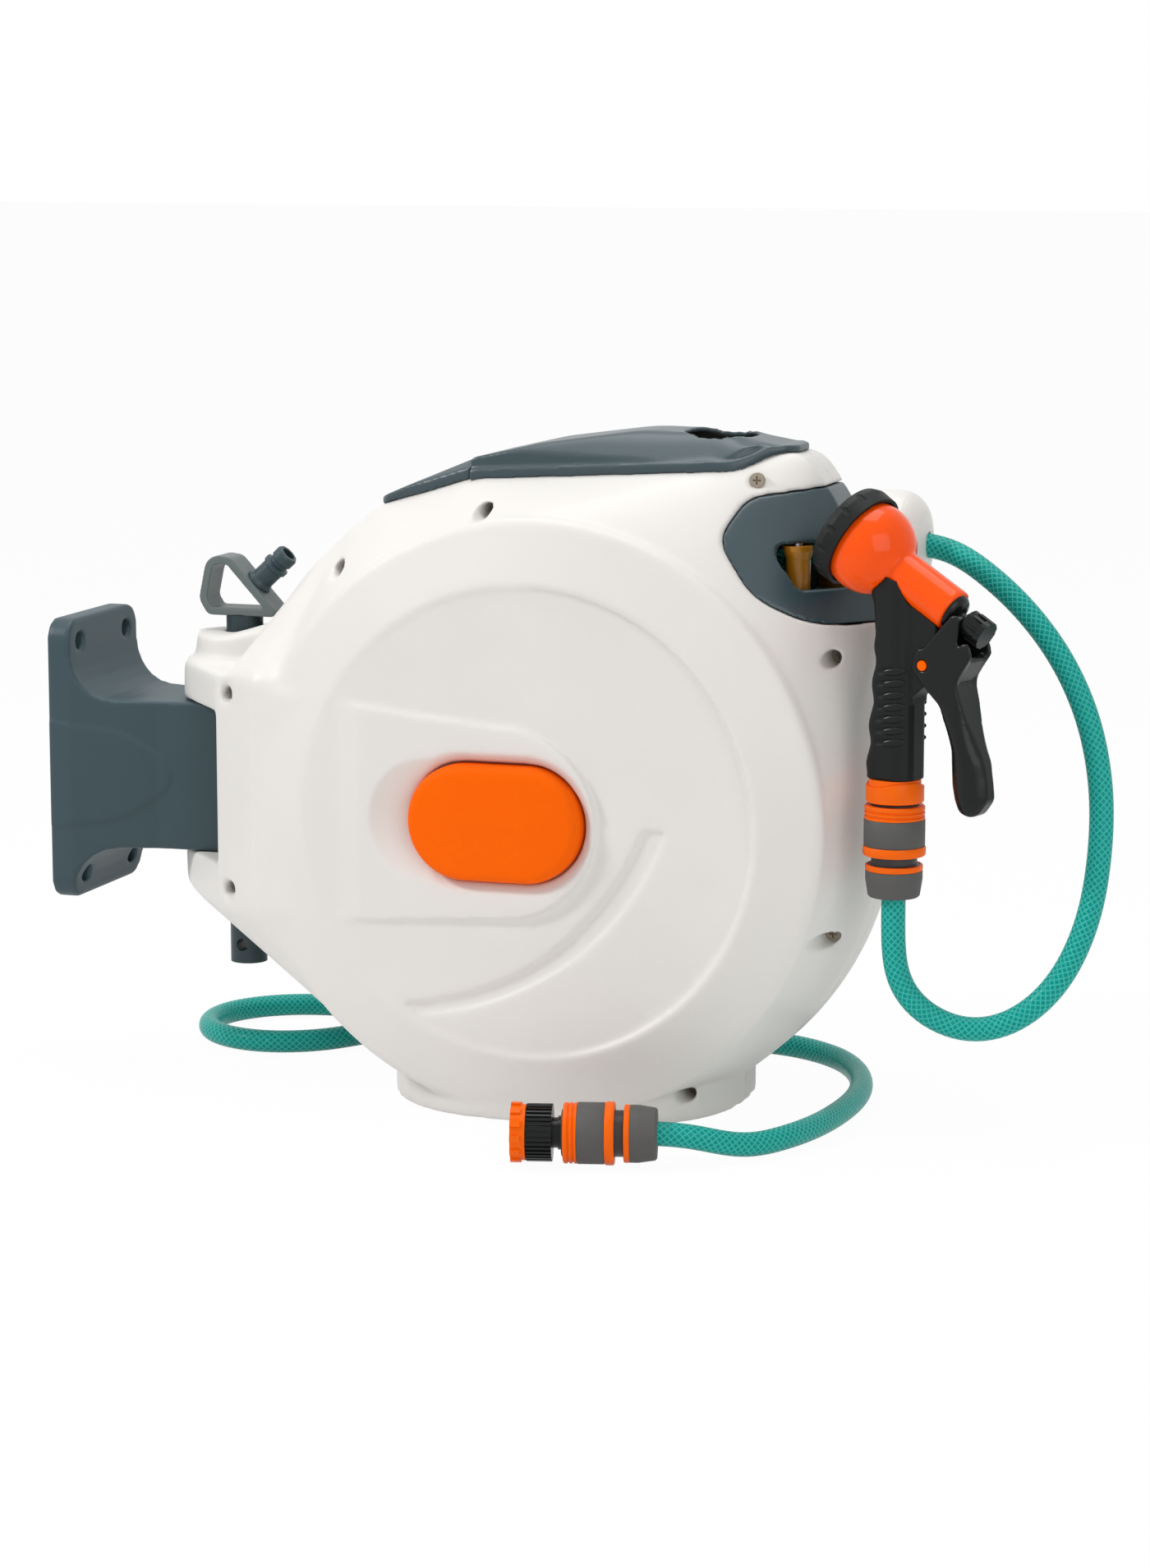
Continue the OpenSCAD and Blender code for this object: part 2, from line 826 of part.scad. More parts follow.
module carry_handle() {
    crown = rim_r + grip_rise;
    top = rounded(
        [
            [handle_end_x, rim_r - 50], [handle_end_x, crown - 8], [105 * wide, crown - 1],
            [48 * wide, crown + 1],
            [-15 * wide, crown - 8], [seam_x + fit, rim_r + 13], [seam_x + fit, rim_r - 50]
        ],
        [0, 3, 60, 120, 90, 4, 0]
    );
    plan = rounded(
        [[seam_x + fit, -grip_w + 4], [96 * wide, -grip_w], [handle_end_x, -16], [handle_end_x, 16],
         [96 * wide, grip_w], [seam_x + fit, grip_w - 4]],
        [1, 30, 14, 14, 30, 1]
    );
    section = rounded(
        [[-grip_w, rim_r - 50], [grip_w, rim_r - 50], [grip_w, crown - 17], [24, crown + 1.5],
            [-24, crown + 1.5],
         [-grip_w, crown - 17]],
        [0, 0, 6, 22, 22, 6]
    );
    color([0.27, 0.33, 0.36])
        at_reel()
            difference() {
                union() {
                    intersection() {
                        outline_slab(top, -far, far);
                        plan_slab(plan, 0, far);
                        end_slab(section, -far, far);
                    }
                    intersection() {
                        housing_form(lip_t);
                        plan_slab(grown(plan, lip), rim_r - 20, far);
                        outline_slab(box_at(seam_x + fit, far, 0, far), -far, far);
                    }
                }
                housing_form(fit);
                intersection() {
                    outline_slab(grown(top, -tray_wall), -well_w, well_w);
                    end_slab(grown(section, -tray_wall), well_x[0], well_x[1]);
                }
                translate([finger_x, 0, 0])
                    plan_slab(rounded(
                        box_at(-finger_l / 2, finger_l / 2, -finger_w / 2, finger_w / 2), finger_l / 2 - 1
                    ), 0, far);
            }
}

// Outlet bezel: a saddle round the nose with shelves for the rollers
module roller_shelves() {
    for (z = [roller_z[0] - shelf_t - gap, roller_z[1] + gap])
        translate([roller_x - roller_r - 4, -roller_n - 12, z])
            cube([90, 2 * roller_n + 24, shelf_t]);
}
module outlet_bezel() {
    color([0.26, 0.32, 0.36])
        at_reel()
            difference() {
                union() {
                    difference() {
                        intersection() {
                            housing_form(-bezel_sink);
                            outline_slab(rounded(bezel, bezel_round), -far, far);
                        }
                        difference() {
                            housing_form(-bezel_sink - wall);
                            roller_shelves();
                            translate([stop_x - 5, 0, stop_z])
                                rotate([0, 90, 0])
                                    cylinder(r = stop_r + 5, h = far);
                        }
                    }
                    intersection() {
                        housing_form(-wall - gap);
                        roller_shelves();
                    }
                }
                translate([stop_x, 0, stop_z])
                    rotate([0, 90, 0])
                        cylinder(r = stop_r + 2, h = far);
                translate([roller_x, 0, stop_z])
                    rotate([0, 90, 0])
                        cylinder(r = hose_r + 2, h = far);
                translate([roller_x - roller_r - gap, -slot_w, slot_z])
                    cube([far, 2 * slot_w, slot_h]);
                for (n = [-1, 1])
                    translate([roller_x, n * roller_n, roller_z[0] - shelf_t - 2 * gap])
                        cylinder(r = roller_pin_r + run, h = roller_z[1] - roller_z[0] + 2 * shelf_t + 4 * gap);
            }
}
module guide_roller(n) {
    color([0.62, 0.40, 0.06])
        at_reel()
            translate([roller_x, n * roller_n, roller_z[0]])
                difference() {
                    rotate_extrude()
                        polygon([
                            [0, 0], [roller_r, 0], [roller_r, 3], [roller_r - 1.5, 8],
                            [roller_r - 1.5, roller_z[1] - roller_z[0] - 8],
                            [roller_r, roller_z[1] - roller_z[0] - 3],
                            [roller_r, roller_z[1] - roller_z[0]], [0, roller_z[1] - roller_z[0]]
                        ]);
                    translate([0, 0, -1])
                        cylinder(r = roller_pin_r + 2 * run, h = far);
                }
}
module roller_near() {
    guide_roller(-1);
}
module roller_far() {
    guide_roller(1);
}
module roller_pins() {
    color("silver")
        at_reel()
            for (n = [-1, 1])
                translate([roller_x, n * roller_n, roller_z[0] - shelf_t - gap])
                    cylinder(r = roller_pin_r, h = roller_z[1] - roller_z[0] + 2 * (shelf_t + gap));
}

// Hose stop: a bell that rests in the bezel's mouth
module hose_stop() {
    color([0.93, 0.91, 0.86])
        at_reel()
            translate([stop_x + fit, 0, stop_z])
                rotate([0, 90, 0])
                    difference() {
                        rotate_extrude()
                            polygon(rounded(
                                [[0, 0], [stop_r, 0], [stop_r, stop_l - 4], [hose_r + 4, stop_l],
                                    [0, stop_l]],
                                [0, 2, 17, 2, 0], 8
                            ));
                        translate([0, 0, -1])
                            cylinder(r = hose_r + fit, h = far);
                    }
}

// Axle and water inlet
module axle() {
    color([0.35, 0.37, 0.39])
        at_reel()
            difference() {
                union() {
                    disc_y(axle_r, gap - pocket_n + hub_wall, axle_end);
                    disc_y(arbor_r, -spring_n[1], -spring_n[0]);
                }
                disc_y(6, swivel_n - 10, far);
                translate([0, swivel_n, 0])
                    cylinder(r = 4, h = far);
            }
}
module at_elbow() {
    at_reel()
        translate([0, elbow_n, 0])
            rotate([0, 180 + elbow_turn, 0])
                children();
}
module inlet_elbow() {
    color([0.24, 0.30, 0.33])
        difference() {
            union() {
                at_reel() {
                    disc_y(24, axle_end, axle_end + 4);
                    disc_y(elbow_r, axle_end, elbow_n);
                    translate([0, elbow_n, 0])
                        sphere(r = elbow_r);
                }
                at_elbow() {
                    cylinder(r = elbow_r - 3, h = elbow_l - 20);
                    cylinder(r = 6, h = elbow_l - 12);
                }
            }
            at_reel()
                disc_y(4.5, axle_end - 1, elbow_n);
            at_elbow()
                cylinder(r = 4, h = far);
        }
}
module inlet_nut() {
    color([0.30, 0.32, 0.33])
        at_elbow()
            difference() {
                translate([0, 0, elbow_l - 20])
                    hose_nut_body(16);
                translate([0, 0, elbow_l - 21])
                    cylinder(r = 6 + fit, h = 10);
                translate([0, 0, elbow_l - 12])
                    cylinder(r = hose_r + fit, h = far);
            }
}
module hose_nut_body(l) {
    rotate_extrude()
        polygon([[0, 0], [coupler_r - 1, 0], [coupler_r - 1, 5], [coupler_r - 2.5, l - 1],
            [coupler_r - 3.5, l], [0, l]]);
}
module axle_seals() {
    color([0.1, 0.1, 0.1])
        at_reel()
            for (y = [swivel_n - 10, swivel_n + 10])
                translate([0, y, 0])
                    rotate([90, 0, 0])
                        rotate_extrude()
                            translate([axle_r + bush_wall / 2 + 0.1, 0])
                                circle(r = bush_wall / 2);
}

// Drum
module drum_core() {
    color([0.30, 0.31, 0.33])
        at_reel()
            difference() {
                disc_y(core_r, -drum_n, drum_n);
                disc_y(core_r - core_wall, web_t - drum_n, drum_n - web_t);
                disc_y(axle_r + bush_wall + run, -far, far);
                for (a = [0 : 60 : 300])
                    rotate([0, a, 0])
                        translate([0, 0, (core_r + hub_hole_r) / 2])
                            disc_y(screw_r + 0.1, -far, far);
            }
}
module drum_flange(side) {
    y0 = side > 0 ? drum_n : -drum_n - flange_t;
    color([0.33, 0.34, 0.36])
        at_reel()
            difference() {
                union() {
                    disc_y(flange_r, y0, y0 + flange_t);
                    tube_y(flange_r, flange_r - 3, y0 - 1, y0 + flange_t + 1);
                }
                disc_y(hub_hole_r, -far, far);
                for (a = [0 : 60 : 300])
                    rotate([0, a, 0])
                        translate([0, 0, (core_r + hub_hole_r) / 2])
                            disc_y(screw_r + 0.1, -far, far);
                for (a = [15 : 30 : 345])
                    rotate([0, a, 0])
                        translate([0, 0, (flange_r + ratchet_r) / 2 + 2])
                            disc_y(flange_hole_r, -far, far);
            }
}
module near_flange() {
    drum_flange(-1);
}
module far_flange() {
    drum_flange(1);
}
module drum_screws() {
    color("silver")
        at_reel()
            for (a = [0 : 60 : 300], m = [0, 1])
                mirror([0, m, 0])
                    rotate([0, a, 0])
                        translate([0, 0, (core_r + hub_hole_r) / 2]) {
                            disc_y(screw_r, -drum_n - flange_t, 1 - drum_n + web_t);
                            disc_y(screw_head_r, -drum_n - flange_t - 2.5, -drum_n - flange_t);
                        }
}
module drum_bushes() {
    color([0.85, 0.83, 0.78])
        at_reel()
            for (m = [0, 1])
                mirror([0, m, 0])
                    tube_y(axle_r + bush_wall, axle_r + run, -drum_n, 2 - drum_n + web_t);
}
module swivel_hub() {
    color([0.25, 0.27, 0.29])
        at_reel()
            difference() {
                union() {
                    disc_y(axle_r + 14, swivel_n - 18, swivel_n + 18);
                    translate([0, swivel_n, 0])
                        cylinder(r = 8, h = core_r - core_wall - 1);
                }
                disc_y(axle_r + bush_wall + fit, 0, far);
                translate([0, swivel_n, 0])
                    cylinder(r = 4, h = far);
            }
}
// Flat spiral spring between the arbor and the core
module power_spring() {
    r0 = arbor_r + 0.3 + spring_t / 2;
    r1 = core_r - core_wall - 0.3 - spring_t / 2;
    steps = 24;
    count = spring_turns * steps;
    function at(i, d) = let (r = r0 + (r1 - r0) * i / count + d, a = 360 * i / steps) [r * cos(a),
        r * sin(a)];
    color([0.55, 0.57, 0.60])
        at_reel()
            outline_slab(concat(
                [for (i = [0 : count]) at(i, spring_t / 2)],
                [for (i = [count : -1 : 0]) at(i, -spring_t / 2)]
            ), -spring_n[1], -spring_n[0]);
}
// Saw teeth whose steep faces meet the pawl
module ratchet_ring() {
    step = 360 / teeth;
    saw = [
        for (i = [0 : teeth - 1])
            let (a = 90 + i * step)
                each [
                    ratchet_root * [cos(a), sin(a)],
                    ratchet_r * [cos(a), sin(a)],
                    (ratchet_r + ratchet_root) / 2 * [cos(a + step / 2), sin(a + step / 2)]
                ]
    ];
    color([0.6, 0.6, 0.58])
        at_reel()
            difference() {
                outline_slab(saw, -drum_n - flange_t - ratchet_t, -drum_n - flange_t);
                disc_y(ratchet_root - 14, -far, far);
            }
}
pawl_at = [-42, ratchet_r + 17];
pawl_pin_r = 4;
module pawl() {
    shape = rounded(
        [[0.8, ratchet_root + 2.5], [5, ratchet_root + 3.5], [8, ratchet_r + 10], pawl_at + [4, 8],
            pawl_at + [-8, 4],
         pawl_at + [-4, -8], [-3, ratchet_r + 3], [0.8, ratchet_r + 2]],
        [0, 1, 4, 5, 5, 5, 0, 0]
    );
    color([0.2, 0.2, 0.2])
        at_reel()
            difference() {
                outline_slab(shape, 1.5 - drum_n - flange_t - ratchet_t, -drum_n - flange_t - gap);
                translate([pawl_at.x, 0, pawl_at.y])
                    disc_y(pawl_pin_r + 2 * run, -far, far);
            }
}
module pawl_pivot() {
    color("silver")
        at_reel()
            translate([pawl_at.x, 0, pawl_at.y])
                disc_y(pawl_pin_r, 7 - half_w + dish_depth, -drum_n - flange_t - gap);
}

// Wound hose: plain inner layers and one unbroken outer layer
module hose_layers() {
    color([0, 0.55, 0.46])
        at_reel()
            tube_y(wound_r - 1.2, core_r + 0.3, -wound_n, wound_n);
}
wind_r = wound_r + hose_r + 0.4;
wind_route = concat(
    [[-hose_d, -turns * loop_pitch / 2, wind_r]],
    [
        for (i = [0 : turns * 24])
            [wind_r * sin(15 * i), loop_pitch * (i / 24 - turns / 2), wind_r * cos(15 * i)]
    ],
    [[hose_d, turns * loop_pitch / 2, wind_r]]
);
echo(least_gap_of_winding = loop_pitch * cos(atan(loop_pitch / (2 * PI * wind_r))) - hose_d);
module wound_hose() {
    color([0, 0.60, 0.50])
        at_reel()
            hose_tube(wind_route, hose_r, 6, [0, 0, 1]);
}

// Free hoses
module gun_hose() {
    color([0, 0.63, 0.52])
        at_reel()
            hose_tube(gun_route, hose_r, 10, [0, 1, 0]);
}
elbow_way = [-sin(elbow_turn), 0, -cos(elbow_turn)];
tap_way = [cos(tap_turn), sin(tap_turn), 0];
leader_route = concat(
    [for (l = [elbow_l - 12, elbow_l + 14]) [0, elbow_n, 0] + l * elbow_way],
    leader_drop,
    [for (p = leader_lay) [p.x * wide, p.y * deep, floor_z]],
    [for (l = [coupler_l + 16, tail_z + fit]) tap_at + l * tap_way]
);
module leader_hose() {
    color([0, 0.63, 0.52])
        at_reel()
            hose_tube(leader_route, hose_r, 10, [0, 1, 0]);
}

// Quick connector, mating face at zero and the hose leaving upwards
module coupler_body() {
    color([0.20, 0.21, 0.22])
        difference() {
            rotate_extrude()
                polygon([
                    [0, 0], [collar_in - 0.3, 0], [collar_in - 0.3, nut_z - 4], [collar_in + 1.5, nut_z - 3],
                    [collar_in + 1.5, nut_z], [hose_r + 1.6, nut_z], [hose_r + 1.6, tail_z], [0, tail_z]
                ]);
            translate([0, 0, -1])
                cylinder(r = nipple_r + run, h = nipple_l + 2);
            cylinder(r = 4, h = far);
        }
}
module coupler_collar() {
    ribs = [for (i = [0 : 2]) each [
        [coupler_r, collar_z[0] + 1 + 3 * i], [coupler_r, collar_z[0] + 3 + 3 * i],
        [coupler_r - 0.7, collar_z[0] + 3.4 + 3 * i], [coupler_r - 0.7, collar_z[0] + 3.8 + 3 * i]
    ]];
    color([1, 0.42, 0])
        rotate_extrude()
            polygon(concat(
                [[collar_in, collar_z[0]], [coupler_r - 1, collar_z[0]]],
                ribs,
                [
                    [coupler_r - 0.6, collar_z[0] + 11], [coupler_r - 0.6, collar_z[1] - 5],
                    [coupler_r + 0.6, collar_z[1] - 3], [coupler_r + 0.6, collar_z[1]],
                    [collar_in, collar_z[1]]
                ]
            ));
}
module coupler_nut() {
    color([0.32, 0.33, 0.34])
        difference() {
            translate([0, 0, nut_z + fit])
                hose_nut_body(coupler_l - nut_z - fit);
            translate([0, 0, nut_z - 1])
                cylinder(r = hose_r + 1.6 + fit, h = tail_z - nut_z + 1);
            cylinder(r = hose_r + fit, h = far);
        }
}
module gun_coupler_body() {
    at_gun_coupler()
        coupler_body();
}
module gun_coupler_collar() {
    at_gun_coupler()
        coupler_collar();
}
module gun_coupler_nut() {
    at_gun_coupler()
        coupler_nut();
}
module tap_coupler_body() {
    at_tap()
        coupler_body();
}
module tap_coupler_collar() {
    at_tap()
        coupler_collar();
}
module tap_coupler_nut() {
    at_tap()
        coupler_nut();
}
// Male nipple that plugs into a connector, pointing up
module nipple() {
    rotate_extrude()
        polygon([
            [0, -2], [10, -2], [10, -fit], [nipple_r, -fit], [nipple_r, nipple_l - 6],
            [nipple_r - 1, nipple_l - 5],
            [nipple_r - 1, nipple_l - 3], [nipple_r, nipple_l - 2], [nipple_r - 1, nipple_l], [0, nipple_l]
        ]);
}
tap_neck = 8;
tap_lip = tap_neck + 2.5;
tap_seal = tap_lip + 2.2;
tap_nut_l = 15;
tap_bore_r = 13.2;
reducer_r = 10.5;
module tap_adapter() {
    color([0.12, 0.12, 0.13])
        at_tap()
            difference() {
                union() {
                    nipple();
                    translate([0, 0, -tap_lip + 1])
                        cylinder(r = 9, h = tap_lip - 2);
                    translate([0, 0, -tap_lip])
                        cylinder(r = tap_bore_r - 0.6, h = tap_lip - tap_neck - 0.3);
                }
                translate([0, 0, -far / 2])
                    cylinder(r = 4, h = far);
            }
}
module tap_nut() {
    ribs = 36;
    color([0.10, 0.10, 0.11])
        at_tap()
            translate([0, 0, -tap_neck - tap_nut_l + 2.5])
                difference() {
                    union() {
                        cylinder(r = coupler_r - 2, h = tap_nut_l);
                        for (a = [0 : 360 / ribs : 359])
                            rotate([0, 0, a])
                                translate([coupler_r - 2.4, -0.7, 0])
                                    cube([1.4, 1.4, tap_nut_l]);
                    }
                    translate([0, 0, -1])
                        cylinder(r = tap_bore_r, h = tap_nut_l - 1.5);
                    cylinder(r = 9 + fit, h = far);
                }
}
module tap_reducer() {
    l = tap_nut_l - 5;
    color([1, 0.45, 0])
        at_tap()
            translate([0, 0, -tap_seal - 0.1 - l])
                difference() {
                    union() {
                        cylinder(r = tap_bore_r - run, h = l);
                        translate([0, 0, -7])
                            cylinder(r = coupler_r - 1.5, h = l - 1.2);
                        for (a = [0 : 30 : 330])
                            rotate([0, 0, a])
                                translate([coupler_r - 2, -2, -7])
                                    cube([1.8, 4, 6]);
                    }
                    translate([0, 0, -8])
                        cylinder(r = reducer_r, h = far);
                }
}
module tap_washer() {
    color([0.15, 0.15, 0.15])
        at_tap()
            translate([0, 0, -tap_seal])
                difference() {
                    cylinder(r = tap_bore_r - 0.4, h = 2);
                    translate([0, 0, -1])
                        cylinder(r = 6, h = 4);
                }
}

// Spray gun
module gun_base() {
    color([1, 0.42, 0])
        at_gun()
            difference() {
                union() {
                    mirror([0, 0, 1])
                        nipple();
                    translate([0, 0, 1])
                        cylinder(r = 16.5, h = grip_low - 5);
                    translate([0, 0, 1])
                        cylinder(r = 15.5, h = grip_low + 1 - fit);
                }
                translate([0, 0, -far / 2])
                    cylinder(r = 4, h = far);
            }
}
module barrel_space(g) {
    at_barrel() {
        translate([0, 0, gun_rear - g])
            cylinder(r = barrel_tube_r + g, h = gun_head - gun_rear);
        translate([0, 0, gun_head])
            sphere(r = dome_r + g);
    }
}
module gun_grip() {
    waves = 4;
    front = [for (i = [0 : 24]) let (t = i / 24) [15 - 2 * t + 1.3 * cos(360 * waves * t),
        grip_low + 2 + 92 * t]];
    side = concat(
        [[-16, grip_low + 2]],
        front,
        [
            [13, gun_axis_z], [-16, gun_axis_z - 8], trigger_at + [-7, 26], trigger_at + [-8, -6],
            trigger_at + [9, -20]
        ]
    );
    color([0.11, 0.11, 0.12])
        difference() {
            at_gun()
                intersection() {
                    outline_slab(side, -far, far);
                    union() {
                        plan_slab(rounded(box_at(-16.5, 16.5, -14, 14), 12), 0, far);
                        translate([0, 0, trigger_at.y - 24])
                            plan_slab(rounded(box_at(-36, 14, -9, 9), 3), 0, far);
                    }
                }
            barrel_space(fit);
            at_gun()
                translate([trigger_at.x, 0, trigger_at.y])
                    disc_y(trigger_pin_r + run, -far, far);
            at_gun()
                cylinder(r = 4, h = 60);
            at_gun()
                for (z = [38 : 7 : 80], y = [-1, 1])
                    translate([-1, y * 15, z])
                        rotate([0, 8, 0])
                            cube([16, 3.2, 3], center = true);
        }
}
module gun_body() {
    color([1, 0.40, 0])
        at_barrel()
            difference() {
                union() {
                    translate([0, 0, gun_rear])
                        cylinder(r1 = barrel_tube_r, r2 = barrel_tube_r - 0.01, h = gun_head - gun_rear);
                    intersection() {
                        translate([0, 0, gun_head])
                            sphere(r = dome_r);
                        translate([0, 0, gun_front - 60])
                            cylinder(r = 60, h = 60);
                    }
                    translate([0, 0, gun_front - 1])
                        cylinder(r = 11, h = 5);
                }
                translate([0, 0, gun_rear - 1])
                    cylinder(r = stem_r + 2 * run, h = far);
            }
}
module trigger_pin() {
    color([1, 0.42, 0])
        at_gun()
            translate([trigger_at.x, 0, trigger_at.y])
                disc_y(trigger_pin_r, -cheek_out, cheek_out);
}
finger_at = [finger_s * cos(gun_tilt), gun_axis_z + finger_s * sin(gun_tilt)];
module gun_trigger() {
    lever = rounded(
        [
            [-17, 82], [-36, 62], [-42, 36], [-44, 16], [-47, 0], [-57, -4], [-64, 8], [-62, 30], [-54, 54],
            [-47, 76], [-58, 92], [-56, 102], [-41, 94], [-20, 96]
        ],
        [4, 8, 30, 30, 5, 6, 10, 40, 40, 12, 3, 3, 6, 6]
    );
    color([0.10, 0.10, 0.11])
        at_gun()
            difference() {
                union() {
                    difference() {
                        outline_slab(lever, -cheek_out, cheek_out);
                        outline_slab([[-80, 66], [0, 58], [0, 130], [-80, 130]], -cheek_in, cheek_in);
                        for (y = [-1, 1])
                            translate([0, y * (cheek_out + 9), 0])
                                outline_slab([[-80, -20], [-20, -20], [-20, 52], [-80, 52]], -12, 12);
                    }
                    for (y = [-1, 1])
                        translate([0, y * (cheek_in + cheek_out) / 2, 0])
                            outline_slab(
                                rounded([
                                    trigger_at + [4, 6], finger_at + [1, 4.5], finger_at + [-4, 2], [-47, 88]
                                ], [4, 3, 3, 2]),
                                (cheek_in - cheek_out) / 2, (cheek_out - cheek_in) / 2
                            );
                    for (y = [-1, 1])
                        translate([finger_at.x, y * (4 + cheek_out) / 2, finger_at.y])
                            disc_y(finger_r, (4 - cheek_out) / 2, (cheek_out - 4) / 2);
                }
                translate([trigger_at.x, 0, trigger_at.y])
                    disc_y(trigger_pin_r + 2 * run, -far, far);
            }
}
module valve_stem() {
    color("silver")
        at_barrel()
            translate([0, 0, knob_s - knob_l + 3])
                cylinder(r = stem_r, h = 45);
}
module flow_knob() {
    color([0.09, 0.09, 0.10])
        at_barrel()
            translate([0, 0, knob_s - knob_l])
                difference() {
                    union() {
                        cylinder(r = knob_r, h = 4);
                        translate([0, 0, 3])
                            cylinder(r1 = knob_r - 1.2, r2 = knob_r, h = knob_l - 3);
                        for (a = [0 : 30 : 330])
                            rotate([0, 0, a])
                                translate([knob_r - 1.6, -0.8, 0])
                                    cube([1.9, 1.6, knob_l - 3]);
                    }
                    translate([0, 0, 2])
                        cylinder(r = stem_r + run, h = far);
                }
}
ring_s = [gun_front - 3, gun_front + 11];
ring_r = dome_r + 3;
module selector_ring() {
    notches = 14;
    color([0.08, 0.08, 0.09])
        at_barrel()
            difference() {
                rotate_extrude()
                    polygon(rounded(
                        [
                            [dome_r - 3, gun_front + gap], [dome_r + 0.4, gun_front + gap],
                            [dome_r + 0.4, ring_s[0]],
                            [ring_r - 0.6, ring_s[0]], [ring_r, ring_s[1] - 5], [ring_r - 2, ring_s[1]],
                            [dome_r - 3, ring_s[1]]
                        ],
                        [0, 0, 0, 0, 3, 1, 0]
                    ));
                for (a = [0 : 360 / notches : 359])
                    rotate([0, 0, a])
                        translate([ring_r + 1.4, 0, ring_s[0] + 5])
                            cylinder(r = 2.6, h = 20);
            }
}
module spray_face() {
    color([0.16, 0.16, 0.17])
        at_barrel()
            difference() {
                translate([0, 0, gun_front + 5])
                    cylinder(r = dome_r - 3 - run, h = 5);
                translate([0, 0, gun_front])
                    cylinder(r = 3, h = 20);
                for (a = [0 : 60 : 300])
                    rotate([0, 0, a])
                        translate([16, 0, gun_front])
                            cylinder(r = 3.4, h = 20);
                for (a = [0 : 30 : 330])
                    rotate([0, 0, a + 15])
                        translate([9, 0, gun_front])
                            cylinder(r = 0.9, h = 20);
            }
}

wall_bracket();
hinge_pin();
pull_loop();
parking_spigot();
near_shell();
far_shell();
shell_screws();
hub_cap();
crest_plate();
handle_tray();
carry_handle();
outlet_bezel();
roller_near();
roller_far();
roller_pins();
hose_stop();
axle();
inlet_elbow();
inlet_nut();
axle_seals();
drum_core();
near_flange();
far_flange();
drum_screws();
drum_bushes();
swivel_hub();
power_spring();
ratchet_ring();
pawl();
pawl_pivot();
hose_layers();
wound_hose();
gun_hose();
leader_hose();
gun_coupler_body();
gun_coupler_collar();
gun_coupler_nut();
tap_coupler_body();
tap_coupler_collar();
tap_coupler_nut();
tap_adapter();
tap_nut();
tap_reducer();
tap_washer();
gun_base();
gun_grip();
gun_body();
trigger_pin();
gun_trigger();
valve_stem();
flow_knob();
selector_ring();
spray_face();
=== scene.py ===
"""Looks of a wall mounted hose reel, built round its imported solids."""

